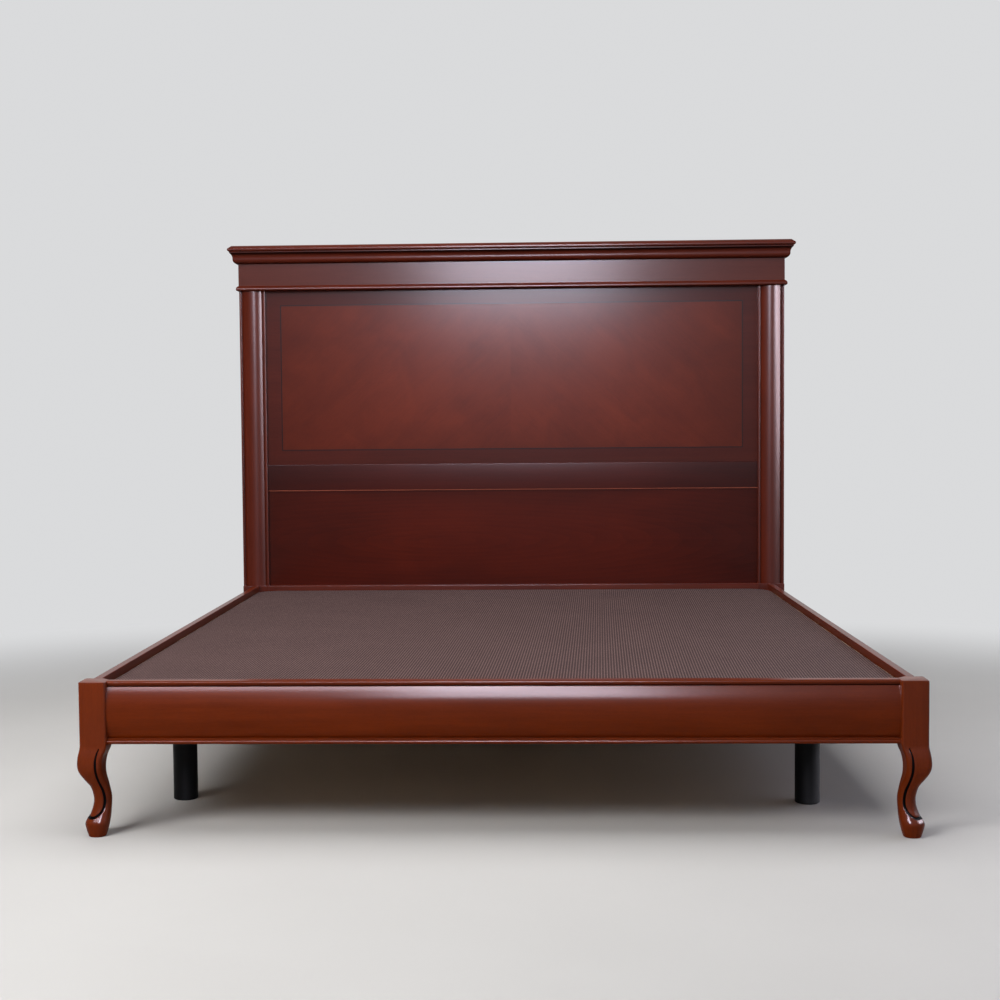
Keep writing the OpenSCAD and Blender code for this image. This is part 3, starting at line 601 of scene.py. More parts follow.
@dataclass(frozen=True)
class DottedFabric:
    """Taupe non-slip fabric: a fine weave with rows of small raised dots."""

    name: str = "dotted_taupe_fabric"
    ground: Colour = (0.042, 0.0248, 0.0238)
    dot: Colour = (0.265, 0.17, 0.162)
    pitch_mm: float = 6.8
    lean_deg: float = 2.5
    weave_wave: float = 2600.0

    def make(self) -> bpy.types.Material:
        """Builds the material.

        A dot sits in the middle of every cell of a square grid over (x + z, y + z), turned by a few degrees,
        so that it runs on down the sides. The weave is the product of two crossing sine waves of thread,
        with weave_wave radians to the metre.

        Returns:
            The finished material.
        """
        g = Graph(self.name)
        per_metre = 1000.0 / self.pitch_mm
        place = g.add("ShaderNodeSeparateXYZ", i0=g.place)
        skewed = g.add("ShaderNodeCombineXYZ", i0=g.math("ADD", place.outputs[0], place.outputs[2]),
                       i1=g.math("ADD", place.outputs[1], place.outputs[2])).outputs[0]
        grid = g.spread(skewed, (per_metre, per_metre, 0.0), (0, 0, self.lean_deg))
        parts = g.add("ShaderNodeSeparateXYZ", i0=grid)
        u = g.math("SUBTRACT", g.math("FRACT", parts.outputs[0]), 0.5)
        v = g.math("SUBTRACT", g.math("FRACT", parts.outputs[1]), 0.5)
        far = g.math("SQRT", g.math("ADD", g.math("MULTIPLY", u, u), g.math("MULTIPLY", v, v)))
        dots = g.ramp(far, [(0.2, 1.0), (0.32, 0.0)])
        weave = g.spread(g.place, (self.weave_wave,) * 3)
        threads = g.add("ShaderNodeSeparateXYZ", i0=weave)
        across = g.math("MULTIPLY", g.math("SINE", threads.outputs[0]), g.math("SINE", threads.outputs[1]))
        weave_height = g.math("ADD", g.math("MULTIPLY", across, 0.5), 0.5)
        cloud = g.noise(g.spread(g.place, (5.0, 5.0, 5.0)), 3.0)
        fleck = g.noise(g.spread(g.place, (260.0, 260.0, 260.0)), 2.0)
        # Painted light: the ground is lighter where the weave's threads stand higher.
        raised = tuple(1.8 * c for c in self.ground)
        ground = g.mix(g.math("MULTIPLY", weave_height, 0.5), self.ground, raised)
        covered = g.math("MULTIPLY", dots, g.ramp(fleck, [(0.3, 0.55), (0.7, 1.0)]))
        colour = g.mix(covered, ground, self.dot)
        colour = g.mix(0.3, colour, g.ramp(cloud, [(0.3, 0.72), (0.7, 1.0)]), "MULTIPLY")
        fine = g.bump(weave_height, 0.00015, 0.5)
        relief = g.bump(dots, 0.0005, 0.7, fine)
        return g.wire(base_color=colour, roughness=0.9, specular_ior_level=0.02, normal=relief)


@dataclass(frozen=True)
class BlackPlastic:
    """Satin black plastic with a faint moulded grain."""

    name: str = "satin_black_plastic"

    def make(self) -> bpy.types.Material:
        """Builds the material: a fine skin of noise in colour and relief, and clouds in the gloss.

        Returns:
            The finished material.
        """
        g = Graph(self.name)
        skin = g.noise(g.spread(g.place, (900.0, 900.0, 900.0)), 2.0)
        cloud = g.noise(g.spread(g.place, (30.0, 30.0, 30.0)), 3.0)
        rough = g.ramp(cloud, [(0.3, 0.46), (0.7, 0.56)])
        shade = g.mix(skin, (0.002, 0.002, 0.0021), (0.004, 0.004, 0.0042))
        return g.wire(base_color=shade, roughness=rough, specular_ior_level=0.07,
                      normal=g.bump(skin, 0.00005, 0.3))


@dataclass(frozen=True)
class Zinc:
    """Zinc plated steel."""

    name: str = "zinc_plated_steel"

    def make(self) -> bpy.types.Material:
        """Builds the material: metal with cloudy plating.

        Returns:
            The finished material.
        """
        g = Graph(self.name)
        cloud = g.noise(g.spread(g.place, (120.0, 120.0, 120.0)), 4.0)
        shade = g.ramp(cloud, [(0.3, (0.34, 0.35, 0.36)), (0.7, (0.52, 0.53, 0.54))])
        rough = g.ramp(cloud, [(0.3, 0.32), (0.7, 0.48)])
        return g.wire(base_color=shade, roughness=rough, metallic=1.0)


HEAD_LIGHT = (0.104, 0.0137, 0.0045)
HEAD_DARK = (0.052, 0.0065, 0.0022)
FOOT_LIGHT = (0.146, 0.0196, 0.0012)
FOOT_DARK = (0.072, 0.009, 0.0006)


@dataclass
class Palette:
    """Every finish of the bed, built once."""

    made: dict = field(default_factory=dict)

    def get(self, finish: object) -> bpy.types.Material:
        """The material of a finish, built on first use."""
        if finish not in self.made:
            self.made[finish] = finish.make()
        return self.made[finish]


def head_wood(grain: Grain, seed: float = 0.0, **extra: object) -> Mahogany:
    """The headboard's solid mahogany in one grain direction."""
    name = f"head_mahogany_{grain.name.lower()}_{int(seed)}"
    return Mahogany(name, HEAD_LIGHT, HEAD_DARK, grain, seed=seed, **extra)


def foot_wood(grain: Grain, seed: float = 0.0, **extra: object) -> Mahogany:
    """The foot end's warmer mahogany in one grain direction."""
    name = f"foot_mahogany_{grain.name.lower()}_{int(seed)}"
    return Mahogany(name, FOOT_LIGHT, FOOT_DARK, grain, seed=seed, coat=0.088, **extra)


PANEL_LIGHT = (0.162, 0.021, 0.005)
PANEL_DARK = (0.074, 0.0076, 0.0018)
ROUND_CLOUDS = (5.5, 7.0, 7.0)
# Painted shade: the veneer leaves, lower veneer and mid rail darken towards their edges.
LEAF_EDGE_SHADE = PaintedEdgeShade(half_x=0.8205, mid_z=1.1005, half_z=0.257, low=0.64)
LOWER_EDGE_SHADE = PaintedEdgeShade(half_x=0.876, mid_z=0.525, half_z=0.17, low=0.55)
MID_RAIL_EDGE_SHADE = PaintedEdgeShade(half_x=0.876, mid_z=0.74, half_z=1.0, low=0.5)
LEFT_LEAF = Mahogany("left_leaf_veneer", PANEL_LIGHT, PANEL_DARK, Grain.RISING, streaks=0.16, clouds=0.42,
                     cloud_scale=ROUND_CLOUDS, seed=1.0, painted_edge_shade=LEAF_EDGE_SHADE)
RIGHT_LEAF = Mahogany("right_leaf_veneer", PANEL_LIGHT, PANEL_DARK, Grain.FALLING, streaks=0.16, clouds=0.42,
                      cloud_scale=ROUND_CLOUDS, seed=2.0, painted_edge_shade=LEAF_EDGE_SHADE)
BANDING = Mahogany("dark_banding_veneer", (0.072, 0.0095, 0.004), (0.037, 0.0045, 0.002), Grain.ALONG_X,
                   streaks=0.5, clouds=0.3, seed=3.0)
LOWER_VENEER = Mahogany("lower_panel_veneer", (0.097, 0.0084, 0.0012), (0.043, 0.0036, 0.0006),
                        Grain.ALONG_X, streaks=0.32, clouds=0.4, arches=0.17, coat=0.08, seed=4.0,
                        painted_edge_shade=LOWER_EDGE_SHADE)
# The mid rail carries a painted highlight along its lower edge.
DARK_RAIL = Mahogany("mid_rail_mahogany", (0.066, 0.0062, 0.0018), (0.031, 0.0029, 0.0009), Grain.ALONG_X,
                     streaks=0.5, clouds=0.35, coat=0.09, seed=5.0, worn=True, painted_edge_shade=MID_RAIL_EDGE_SHADE)
FRIEZE = Mahogany("frieze_mahogany", (0.09, 0.018, 0.01), (0.052, 0.009, 0.005), Grain.ALONG_X,
                  streaks=0.35, clouds=0.4, seed=12.0)
SIDE_RAIL = Mahogany("side_rail_mahogany", (0.12, 0.0155, 0.003), (0.057, 0.0073, 0.0016), Grain.ALONG_Y,
                     streaks=0.5, clouds=0.4, seed=8.0)
BACK_BOARD = Mahogany("stained_back_board", (0.15, 0.05, 0.03), (0.07, 0.02, 0.014), Grain.ALONG_X,
                      streaks=0.7, clouds=0.3, roughness=0.55, coat=0.0, seed=6.0)
LEG_LIGHT = (0.158, 0.0225, 0.0024)
LEG_DARK = (0.084, 0.0115, 0.0012)
PINE_LIGHT = (0.62, 0.43, 0.24)
PINE_DARK = (0.42, 0.25, 0.11)
PINE_X = RawWood("planed_pine_x", PINE_LIGHT, PINE_DARK, Grain.ALONG_X)
PINE_Y = RawWood("planed_pine_y", PINE_LIGHT, PINE_DARK, Grain.ALONG_Y)


@dataclass
class SubAssembly:
    """A group of the bed's pieces that rides on one body."""

    palette: Palette
    body: str = "frame"
    count: int = 0

    def finish(self, piece: bpy.types.Object, look: object, slot: str, *nodes: str) -> bpy.types.Object:
        """Dresses a new piece, lets it stand for its nodes and ride on the body.

        Args:
            piece: The new object.
            look: Its finish.
            slot: The record's material slot, not used.
            *nodes: Names of the nodes that it stands for.

        Returns:
            The same object.
        """
        piece.data.materials.append(self.palette.get(look))
        if nodes:
            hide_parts(*nodes)
        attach(piece, self.body)
        self.count += 1
        log.info("%s: %d faces", piece.name, len(piece.data.polygons))
        return piece

    def dress(self, look: object, *nodes: str) -> None:
        """Gives a finish to nodes of the frame that stay as they are.

        Args:
            look: The finish.
            *nodes: Names of the nodes.
        """
        for node in nodes:
            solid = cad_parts[node]
            solid.data.materials.clear()
            solid.data.materials.append(self.palette.get(look))
            self.count += 1
            log.info("%s: dressed as %s", node, look.name)


# Headboard


@dataclass
class Headboard(SubAssembly):
    """Cornice, frieze, posts, panels and rails."""

    front_y: float = 2060.0
    stile_y: float = 2078.0
    back_y: float = 2118.0
    post_x0: float = 876.0
    post_x1: float = 968.0
    face_half: float = 37.0
    face_rise: float = 15.0
    fillet_reach: float = 10.0
    fillet_round: float = 2.0
    fillet_gap: float = 2.0
    fillet_foot: float = 3.0
    cap_z: float = 1548.0
    cap_t: float = 21.0
    cap_reach: float = 33.0
    cap_set: float = 5.0
    cap_nose: float = 1.6
    cap_nose_low: float = 5.2
    cap_nose_high: float = 9.6
    cap_bevel: float = 12.4
    cap_top_round: float = 1.2
    crown_h: float = 42.0
    crown_set: float = 6.0
    bead_z: float = 1411.0
    bead_h: float = 17.5
    bead_reach: float = 8.5
    mid_z: float = 695.0
    mid_h: float = 95.0
    rail_back_y: float = 2110.0
    rail_round: float = 2.2
    rail_low_round: float = 1.0
    # Height of the painted highlight along the mid rail's lower edge.
    worn_h: float = 3.5
    low_rail_set: float = 2.0
    rail_top: float = 355.0
    rail_low: float = 213.0
    slot_name: str = "headboard_mahogany"

    def cap(self) -> None:
        """The cap board: rectangles in plan whose reach follows the edge's profile from underside to top."""
        nose, top = self.cap_nose, self.cap_top_round
        nose_u = self.cap_reach - nose
        edge = np.concatenate([
            [[self.cap_reach - self.cap_set, 0]],
            arc(nose_u, self.cap_nose_low, nose, -50, 0, 4),
            arc(nose_u, self.cap_nose_high, nose, 0, 36, 4),
            arc(self.cap_reach - self.cap_bevel - top, self.cap_t - top, top, 52, 90, 4),
        ])
        x = (self.post_x1 + edge[:, :1]) * np.array([[-1.0, 1.0, 1.0, -1.0]])
        y = np.where(np.array([[True, True, False, False]]), self.front_y - edge[:, :1], self.back_y)
        z = np.broadcast_to(self.cap_z + edge[:, 1:], x.shape)
        rings = np.stack([x, y, z], -1)
        piece = make_piece("cornice_cap_board", rings.reshape(-1, 3), ring_faces(len(edge), 4), 50)
        self.finish(piece, head_wood(Grain.ALONG_X, 1), self.slot_name, "cornice_cap")

    def crown_profile(self) -> Array:
        """Crown outline: a quarter round of 0.375 of its height, a short flat, a deep cove and a fillet.

        The cove is the circle that starts upright over the quarter round, its centre level with its foot.

        Returns:
            Closed outline of (reach, height).
        """
        h = self.crown_h
        r, out, foot, fillet = 0.375 * h, 0.515 * self.cap_reach, 0.45 * h, self.cap_reach - self.crown_set
        cove = h - foot
        end = math.degrees(math.acos((fillet - out - cove) / cove))
        return np.concatenate([
            [[0, 0], [out - r, 0]],
            arc(out - r, r, r, -84, 0, 14),
            arc(out + cove, foot, cove, 180, end, 16),
            [[fillet, h], [0, h]],
        ])

    def bead_profile(self) -> Array:
        """Bead outline: a tight quarter round below, and a long arc from its front back to the top.

        Returns:
            Closed outline of (reach, height).
        """
        low = 0.31 * self.bead_h
        rise, run = self.bead_h - low, 0.9 * self.bead_reach
        top = (run**2 + rise**2) / (2 * run)
        end = math.degrees(math.asin(rise / top))
        return np.concatenate([
            [[0, 0]],
            arc(self.bead_reach - low, low, low, -90, 0, 9),
            arc(self.bead_reach - top, low, top, 0, end, 16)[1:],
            [[0, self.bead_h]],
        ])

    def recess(self, profile: Array) -> Array:
        """How dark the painted shade is along a moulding's outline.

        It is a sum of two bells of the height: painted shade about the foot and, on the tall crown
        with its deep cove, painted shade just under the top.

        Args:
            profile: Closed outline of (reach, height).

        Returns:
            One value from 0 to 1 for each point.
        """
        full = profile[:, 1].max()
        height = profile[:, 1] / full
        foot = np.exp(-((height / 0.12) ** 2))
        under_top = np.exp(-(((height - 0.84) / 0.13) ** 2)) * (height < 0.99) * (full >= self.crown_h)
        return np.clip(0.55 * foot + 0.9 * under_top, 0, 1)

    def mouldings(self) -> None:
        """Crown and frieze bead: a front run and two returns each, mitred at the corners."""
        depth = self.back_y - self.front_y
        for name, z, profile in (("crown", self.cap_z - self.crown_h, self.crown_profile()),
                                 ("frieze_bead", self.bead_z, self.bead_profile())):
            front = Run((0, self.front_y, z), (1, 0, 0), (0, -1, 0), (0, 0, 1))
            piece = front.sweep(f"{name}_front_moulding", profile, -self.post_x1, self.post_x1, (-1, 1), 0.5)
            # Painted shade about the moulding's foot and under the crown's top, stored on its points.
            mark(piece, "glaze", self.recess(profile))
            self.finish(piece, head_wood(Grain.ALONG_X, 2, glazed=True), self.slot_name, f"{name}_front")
            for side in Side:
                corner = (side.value * self.post_x1, self.front_y, z)
                run = Run(corner, (0, 1, 0), (side.value, 0, 0), (0, 0, 1))
                word = side.name.lower()
                piece = run.sweep(f"{name}_{word}_side_moulding", profile, 0, depth, (-1, 0), 0.5)
                mark(piece, "glaze", self.recess(profile))
                self.finish(piece, head_wood(Grain.ALONG_Y, 2, glazed=True), self.slot_name,
                            f"{name}_{word}_return")

    def frieze(self) -> None:
        """The plain board between the mouldings."""
        piece = board("frieze_face_board", (-self.post_x1, self.front_y, self.bead_z),
                      (self.post_x1, self.stile_y, self.cap_z), 1.0)
        self.finish(piece, FRIEZE, self.slot_name, "frieze_board")

    def pilaster_plan(self) -> Array:
        """Plan of a pilaster: the arc of a circle between two narrow fillets with rounded fronts.

        Returns:
            Closed outline of (across, forward).
        """
        half, rise = self.face_half, self.face_rise
        r = (half**2 + rise**2) / (2 * rise)
        lean = math.degrees(math.asin(half / r))
        face = arc(0, self.stile_y - self.front_y - r, r, 90 + lean, 90 - lean, 44)
        out, tip, small = (self.post_x1 - self.post_x0) / 2, self.fillet_reach, self.fillet_round
        inner = half + self.fillet_gap
        fillet = np.concatenate([
            [[inner, self.fillet_foot]],
            arc(inner + small, tip - small, small, 180, 90, 6),
            arc(out - small, tip - small, small, 90, 0, 6),
            [[out, 0]]])
        return np.concatenate([fillet[::-1] * [-1, 1], face, fillet])

    def posts(self) -> None:
        """Stile, plinth and pilaster of both posts."""
        for side in Side:
            word = side.name.lower()
            x0, x1 = sorted((side.value * self.post_x0, side.value * self.post_x1))
            look = head_wood(Grain.ALONG_Z, 4 + side.value, coat=0.16, coat_roughness=0.26)
            stile = board(f"{word}_post_stile", (x0, self.stile_y, 0), (x1, self.back_y, self.cap_z), 1.5)
            self.finish(stile, look, self.slot_name, f"{word}_stile")
            plinth = board(f"{word}_post_plinth", (x0, self.front_y, 0),
                           (x1, self.stile_y, self.rail_top), 1.5)
            self.finish(plinth, look, self.slot_name, f"{word}_plinth")
            run = Run(((x0 + x1) / 2, self.stile_y, 0), (0, 0, 1), (0, -1, 0), (1, 0, 0))
            plan = self.pilaster_plan()[:, ::-1]
            piece = run.sweep(f"{word}_rounded_pilaster", plan, self.rail_top, self.bead_z, edge=0.0)
            self.finish(piece, look, self.slot_name, f"{word}_pilaster")

    def rails(self) -> None:
        """Mid rail and bottom rail, with rounded front edges and a painted highlight along the mid rail's
        lower one.
        """
        run = Run((0, 0, 0), (1, 0, 0), (0, 1, 0), (0, 0, 1))
        y1, r, low_r = self.rail_back_y, self.rail_round, self.rail_low_round
        mid = ("dark_mid_rail", self.stile_y, self.mid_z, self.mid_z + self.mid_h, DARK_RAIL,
               self.slot_name, "mid_rail")
        low = ("low_rail", self.front_y + self.low_rail_set, self.rail_low, self.rail_top,
               head_wood(Grain.ALONG_X, 7), "rail_mahogany", "bottom_rail")
        for name, y0, z0, z1, look, slot, node in (mid, low):
            outline = np.concatenate([
                [[y0, z0 + self.worn_h]], arc(y0 + low_r, z0 + low_r, low_r, 180, 270, 7),
                [[y1, z0], [y1, z1]], arc(y0 + r, z1 - r, r, 90, 180, 7)])
            piece = run.sweep(name, outline, -self.post_x0, self.post_x0, edge=0.0)
            # Painted highlight: the pale line along the mid rail's lower edge.
            if look.worn:
                mark(piece, "worn", (outline[:, 1] < z0 + self.worn_h) * (outline[:, 0] < y1))
            self.finish(piece, look, slot, node)

    def panels(self) -> None:
        """Finishes of the flat pieces that keep the frame's own solids."""
        self.dress(LEFT_LEAF, "left_veneer_leaf")
        self.dress(RIGHT_LEAF, "right_veneer_leaf")
        self.dress(Inlay(), "inlaid_line")
        self.dress(BANDING, "banding")
        self.dress(LOWER_VENEER, "lower_veneer")
        self.dress(BACK_BOARD, "upper_panel", "lower_panel", "top_rail")
        self.dress(PINE_X, "headboard_dowels")

    def build(self) -> None:
        """Builds and dresses the headboard."""
        self.cap()
        self.mouldings()
        self.frieze()
        self.posts()
        self.rails()
        self.panels()


# Frame


@dataclass
class FootRail(SubAssembly):
    """The moulded foot rail with its board."""

    half: float = 887.0
    low: float = 213.0
    top: float = 355.0
    set_back: float = 4.5
    bulge: float = 12.5
    face_y: float = 24.0
    in_y: float = 42.0
    strip_h: float = 12.5
    strip_y: float = 16.5
    strip_low_round: float = 2.0
    strip_round: float = 4.5
    shade_h: float = 6.0
    low_bead: float = 13.5
    low_set: float = 7.5
    fillet_h: float = 3.5
    fillet_y: float = 10.5
    slot_name: str = "foot_mahogany"

    def build(self) -> None:
        """Builds the board, the swelling face, the strip over it and the bead under it."""
        run = Run((0, 0, 0), (1, 0, 0), (0, 1, 0), (0, 0, 1))
        z0, z1 = self.low + self.low_bead, self.top - self.strip_h
        half_h = (z1 - z0) / 2
        r = (half_h**2 + self.bulge**2) / (2 * self.bulge)
        lean = math.degrees(math.asin(half_h / r))
        face = np.concatenate([
            arc(self.set_back + r, (z0 + z1) / 2, r, 180 + lean, 180 - lean, 48),
            [[self.face_y, z1], [self.face_y, z0]]])
        self.finish(run.sweep("swelling_foot_face", face, -self.half, self.half, edge=0.5),
                    foot_wood(Grain.ALONG_X, 1), self.slot_name, "foot_moulded_face")
        y0, low_r, top_r = self.strip_y, self.strip_low_round, self.strip_round
        strip = np.concatenate([
            arc(y0 + low_r, z1 + low_r, low_r, 270, 180, 6),
            arc(y0 + top_r, self.top - top_r, top_r, 180, 90, 12),
            [[self.face_y, self.top], [self.face_y, z1]]])
        piece = run.sweep("foot_top_strip", strip, -self.half, self.half, edge=0.0)
        # Painted shade: the strip darkens towards its lower edge, over shade_h.
        mark(piece, "glaze", np.clip(1.1 - (strip[:, 1] - z1) / self.shade_h, 0, 0.9))
        self.finish(piece, foot_wood(Grain.ALONG_X, 2, glazed=True), self.slot_name, "foot_top_bead")
        rl = (self.low_bead - self.fillet_h) / 2
        low = np.concatenate([
            arc(self.low_set + rl, self.low + rl, rl, 270, 90, 22),
            [[self.fillet_y, z0 - self.fillet_h], [self.fillet_y, z0], [self.face_y, z0],
             [self.face_y, self.low]]])
        self.finish(run.sweep("foot_bottom_moulding", low, -self.half, self.half, edge=1.0),
                    foot_wood(Grain.ALONG_X, 3), self.slot_name, "foot_low_bead")
        self.finish(board("foot_rail_back_board", (-self.half, self.face_y, self.low),
                          (self.half, self.in_y, self.top), 1.0),
                    foot_wood(Grain.ALONG_X, 4), self.slot_name, "foot_board")
        self.dress(PINE_X, "foot_dowels")


@dataclass
class SideRails(SubAssembly):
    """The two plain side rails, the ledgers and the fittings."""

    x0: float = 910.0
    x1: float = 930.0
    y0: float = 61.0
    y1: float = 2060.0
    low: float = 213.0
    top: float = 355.0

    def build(self) -> None:
        """Builds the rails and dresses what holds them."""
        for side in Side:
            word = side.name.lower()
            x0, x1 = sorted((side.value * self.x0, side.value * self.x1))
            piece = board(f"{word}_long_rail", (x0, self.y0, self.low), (x1, self.y1, self.top), 2.0)
            self.finish(piece, SIDE_RAIL, "rail_mahogany", f"{word}_side_rail")
        self.dress(PINE_Y, "left_ledger", "right_ledger")
        self.dress(PINE_X, "foot_ledger", "head_ledger")
        self.dress(Zinc(), "ledger_screws", "rail_hook_plates", "post_slot_plates", "fitting_screws")


@dataclass
class CabrioleLegs(SubAssembly):
    """The two front legs, worked out as one grid each, with the scrolled line cut in and coloured near
    black.
    """

    outer_x: float = 948.0
    width: float = 61.0
    block_z: float = 213.0
    top_z: float = 355.0
    cut_z: float = 244.2
    corner_cut: float = 20.0
    top_edge: float = 1.0
    groove_w: float = 3.2
    groove_d: float = 1.8
    recess: float = 1.5
    hollow_w: float = 13.0
    lip: float = 0.45
    lip_out: float = 3.4
    lip_w: float = 1.5
    ring_count: int = 262
    outer: list = field(default_factory=lambda: [
        (0, 10.7), (0.08, 5.8), (0.15, 3.9), (0.22, 10.9), (0.3, 17.5), (0.38, 20.3), (0.46, 18.6),
        (0.54, 14.2), (0.62, 4.8), (0.68, -1.82), (0.73, -5.4), (0.78, -6.5), (0.85, -5.45), (0.91, -3.1),
        (0.95, -1.15), (0.98, -0.2), (1, 0)])
    inner: list = field(default_factory=lambda: [
        (0, 12), (0.07, 7.4), (0.16, 3.4), (0.28, 1.3), (0.42, 0.4), (0.54, 4.8), (0.67, 10.8), (0.78, 11.6),
        (0.87, 8.6), (0.93, 3.8), (1, 0)])
    rounding: list = field(default_factory=lambda: [
        (0, 0.9), (0.2, 0.85), (0.38, 0.96), (0.5, 0.9), (0.62, 0.6), (0.8, 0.35), (1, 10 / 61)])
    scroll: list = field(default_factory=lambda: [
        (44.2, 203.8), (39.7, 192), (37.3, 179.7), (36.8, 165.7), (37.5, 149.5), (39.4, 133.6),
        (42.6, 118.8), (46.6, 106), (49.1, 92.4), (49.9, 80), (48.5, 69.2), (45.1, 60.1), (38.9, 52.7),
        (31.5, 47.4), (22.7, 44.5), (12, 45.5), (2, 48)])

    def ring_spots(self) -> tuple[Array, Array, Array]:
        """Where a ring's points sit, closer on the two outer faces, which carry the line.

        Returns:
            Corner number, angle in the corner and share of the straight that follows, for each point.
        """
        corner, angle, straight = [], [], []
        for k, (turns, gaps) in enumerate(((10, 40), (24, 64), (24, 64), (24, 40))):
            corner.append(np.full(turns + gaps, k))
            angle.append(np.concatenate([np.linspace(0, 90, turns), np.full(gaps, 90.0)]) + 90 * k)
            straight.append(np.concatenate([np.zeros(turns), np.linspace(0, 1, gaps + 2)[1:-1]]))
        return np.concatenate(corner), np.concatenate(angle), np.concatenate(straight)

    def section(self, outer: Array, inner: Array, radius: Array) -> Array:
        """Rings of a square with round corners.

        For each ring, a corner point is the corner's centre plus radius times (cos a, sin a), and a point on
        a straight lies between the end of one corner and the start of the next.

        Args:
            outer: Distance of the outer faces from the block's outer faces, one for each ring.
            inner: The same for the inner faces.
            radius: Corner radius of each ring.

        Returns:
            Points (rings, around, 2) as distances in from the block's two outer faces.
        """
        corner, angle, share = self.ring_spots()
        sx = np.array([1, -1, -1, 1])
        sy = np.array([1, 1, -1, -1])
        mid, half = ((outer + inner) / 2)[:, None], ((inner - outer) / 2)[:, None]
        reach = half - radius[:, None]
        a = np.radians(angle)
        here = np.stack([mid + sx[corner] * reach + radius[:, None] * np.cos(a),
                         mid + sy[corner] * reach + radius[:, None] * np.sin(a)], -1)
        nxt = (corner + 1) % 4
        b = np.radians(90.0 * (corner + 1))
        there = np.stack([mid + sx[nxt] * reach + radius[:, None] * np.cos(b),
                          mid + sy[nxt] * reach + radius[:, None] * np.sin(b)], -1)
        return here + (there - here) * share[None, :, None]

    def scroll_distance(self, across: Array, height: Array) -> tuple[Array, Array]:
        """Distance of points (across, height) from the scrolled line, as a chain of straight pieces.

        The sign is that of the cross product of the line's direction and the way from the line to the point.

        Args:
            across: Distance in from the leg's outer edge.
            height: Height above the floor.

        Returns:
            The distance, positive on the ridge's side and negative on the knee's, and how far along the line
            the nearest place is, from 0 at its top to 1 at its curled end.
        """
        knots = np.array(self.scroll, float)
        t = np.arange(len(knots), dtype=float)
        fine = np.linspace(0, len(knots) - 1, 160)
        line = np.stack([curve_at(list(zip(t, knots[:, i])), fine) for i in (0, 1)], -1)
        a, d = line[:-1], np.diff(line, axis=0)
        spot = np.stack([across, height], -1)[..., None, :]
        share = np.clip(((spot - a) * d).sum(-1) / (d * d).sum(-1), 0, 1)
        away = spot - a - share[..., None] * d
        gap = np.linalg.norm(away, axis=-1)
        turn = d[:, 0] * away[..., 1] - d[:, 1] * away[..., 0]
        near = gap.argmin(-1)[..., None]
        side = np.where(np.take_along_axis(turn, near, -1) < 0, -1.0, 1.0)
        along = (near + np.take_along_axis(share, near, -1)) / len(a)
        return (np.take_along_axis(gap, near, -1) * side)[..., 0], along[..., 0]

    def grid(self) -> tuple[Array, Array]:
        """The leg's surface: at each height a ring between the outer curve and the inner curve.

        Returns:
            Points (rings, around, 3) of (in from the side, in from the front, height), and how black each
            of them is.
        """
        z = np.concatenate([[0.0], np.linspace(0.9, self.block_z, self.ring_count),
                            np.linspace(self.block_z + 6, self.cut_z, 4)])
        t = np.clip(z / self.block_z, 0, 1)
        outer = curve_at(self.outer, t)
        inner = self.width - curve_at(self.inner, t)
        radius = (inner - outer) / 2 * curve_at(self.rounding, t)
        first = np.array([True] + [False] * (len(z) - 1))
        outer, inner = np.where(first, outer + 0.8, outer), np.where(first, inner - 0.8, inner)
        rings = self.section(outer, inner, radius)
        points = np.concatenate([rings, np.broadcast_to(z[:, None, None], rings.shape[:2] + (1,))], -1)
        paint = self.carve(points)
        block = self.block_rings(points[-1])
        return np.concatenate([points, block]), np.concatenate([paint, np.zeros(block.shape[:2])])

    def block_rings(self, ring: Array) -> Array:
        """The top of the block, with its inner corner cut off and its top edge rounded.

        The cut moves every point past the line p + q = 2 width - cut back onto that line along the diagonal.

        Args:
            ring: The last ring below the cut, shape (around, 3).

        Returns:
            The rings above it, shape (rings, around, 3).
        """
        over = ring[:, 0] + ring[:, 1] - (2 * self.width - self.corner_cut)
        cut = ring.copy()
        cut[:, :2] -= np.maximum(over, 0)[:, None] / 2
        turn = np.radians(np.linspace(0, 90, 6))
        centre = np.array([self.width / 2, self.width / 2])
        levels = np.concatenate([[self.cut_z + 0.01], self.top_z - self.top_edge * (1 - np.sin(turn))])
        pull = np.concatenate([[0.0], self.top_edge * (1 - np.cos(turn))]) / (self.width / 2)
        flat = cut[None, :, :2] + (centre - cut[None, :, :2]) * pull[:, None, None]
        return np.concatenate([flat, np.broadcast_to(levels[:, None, None], flat.shape[:2] + (1,))], -1)

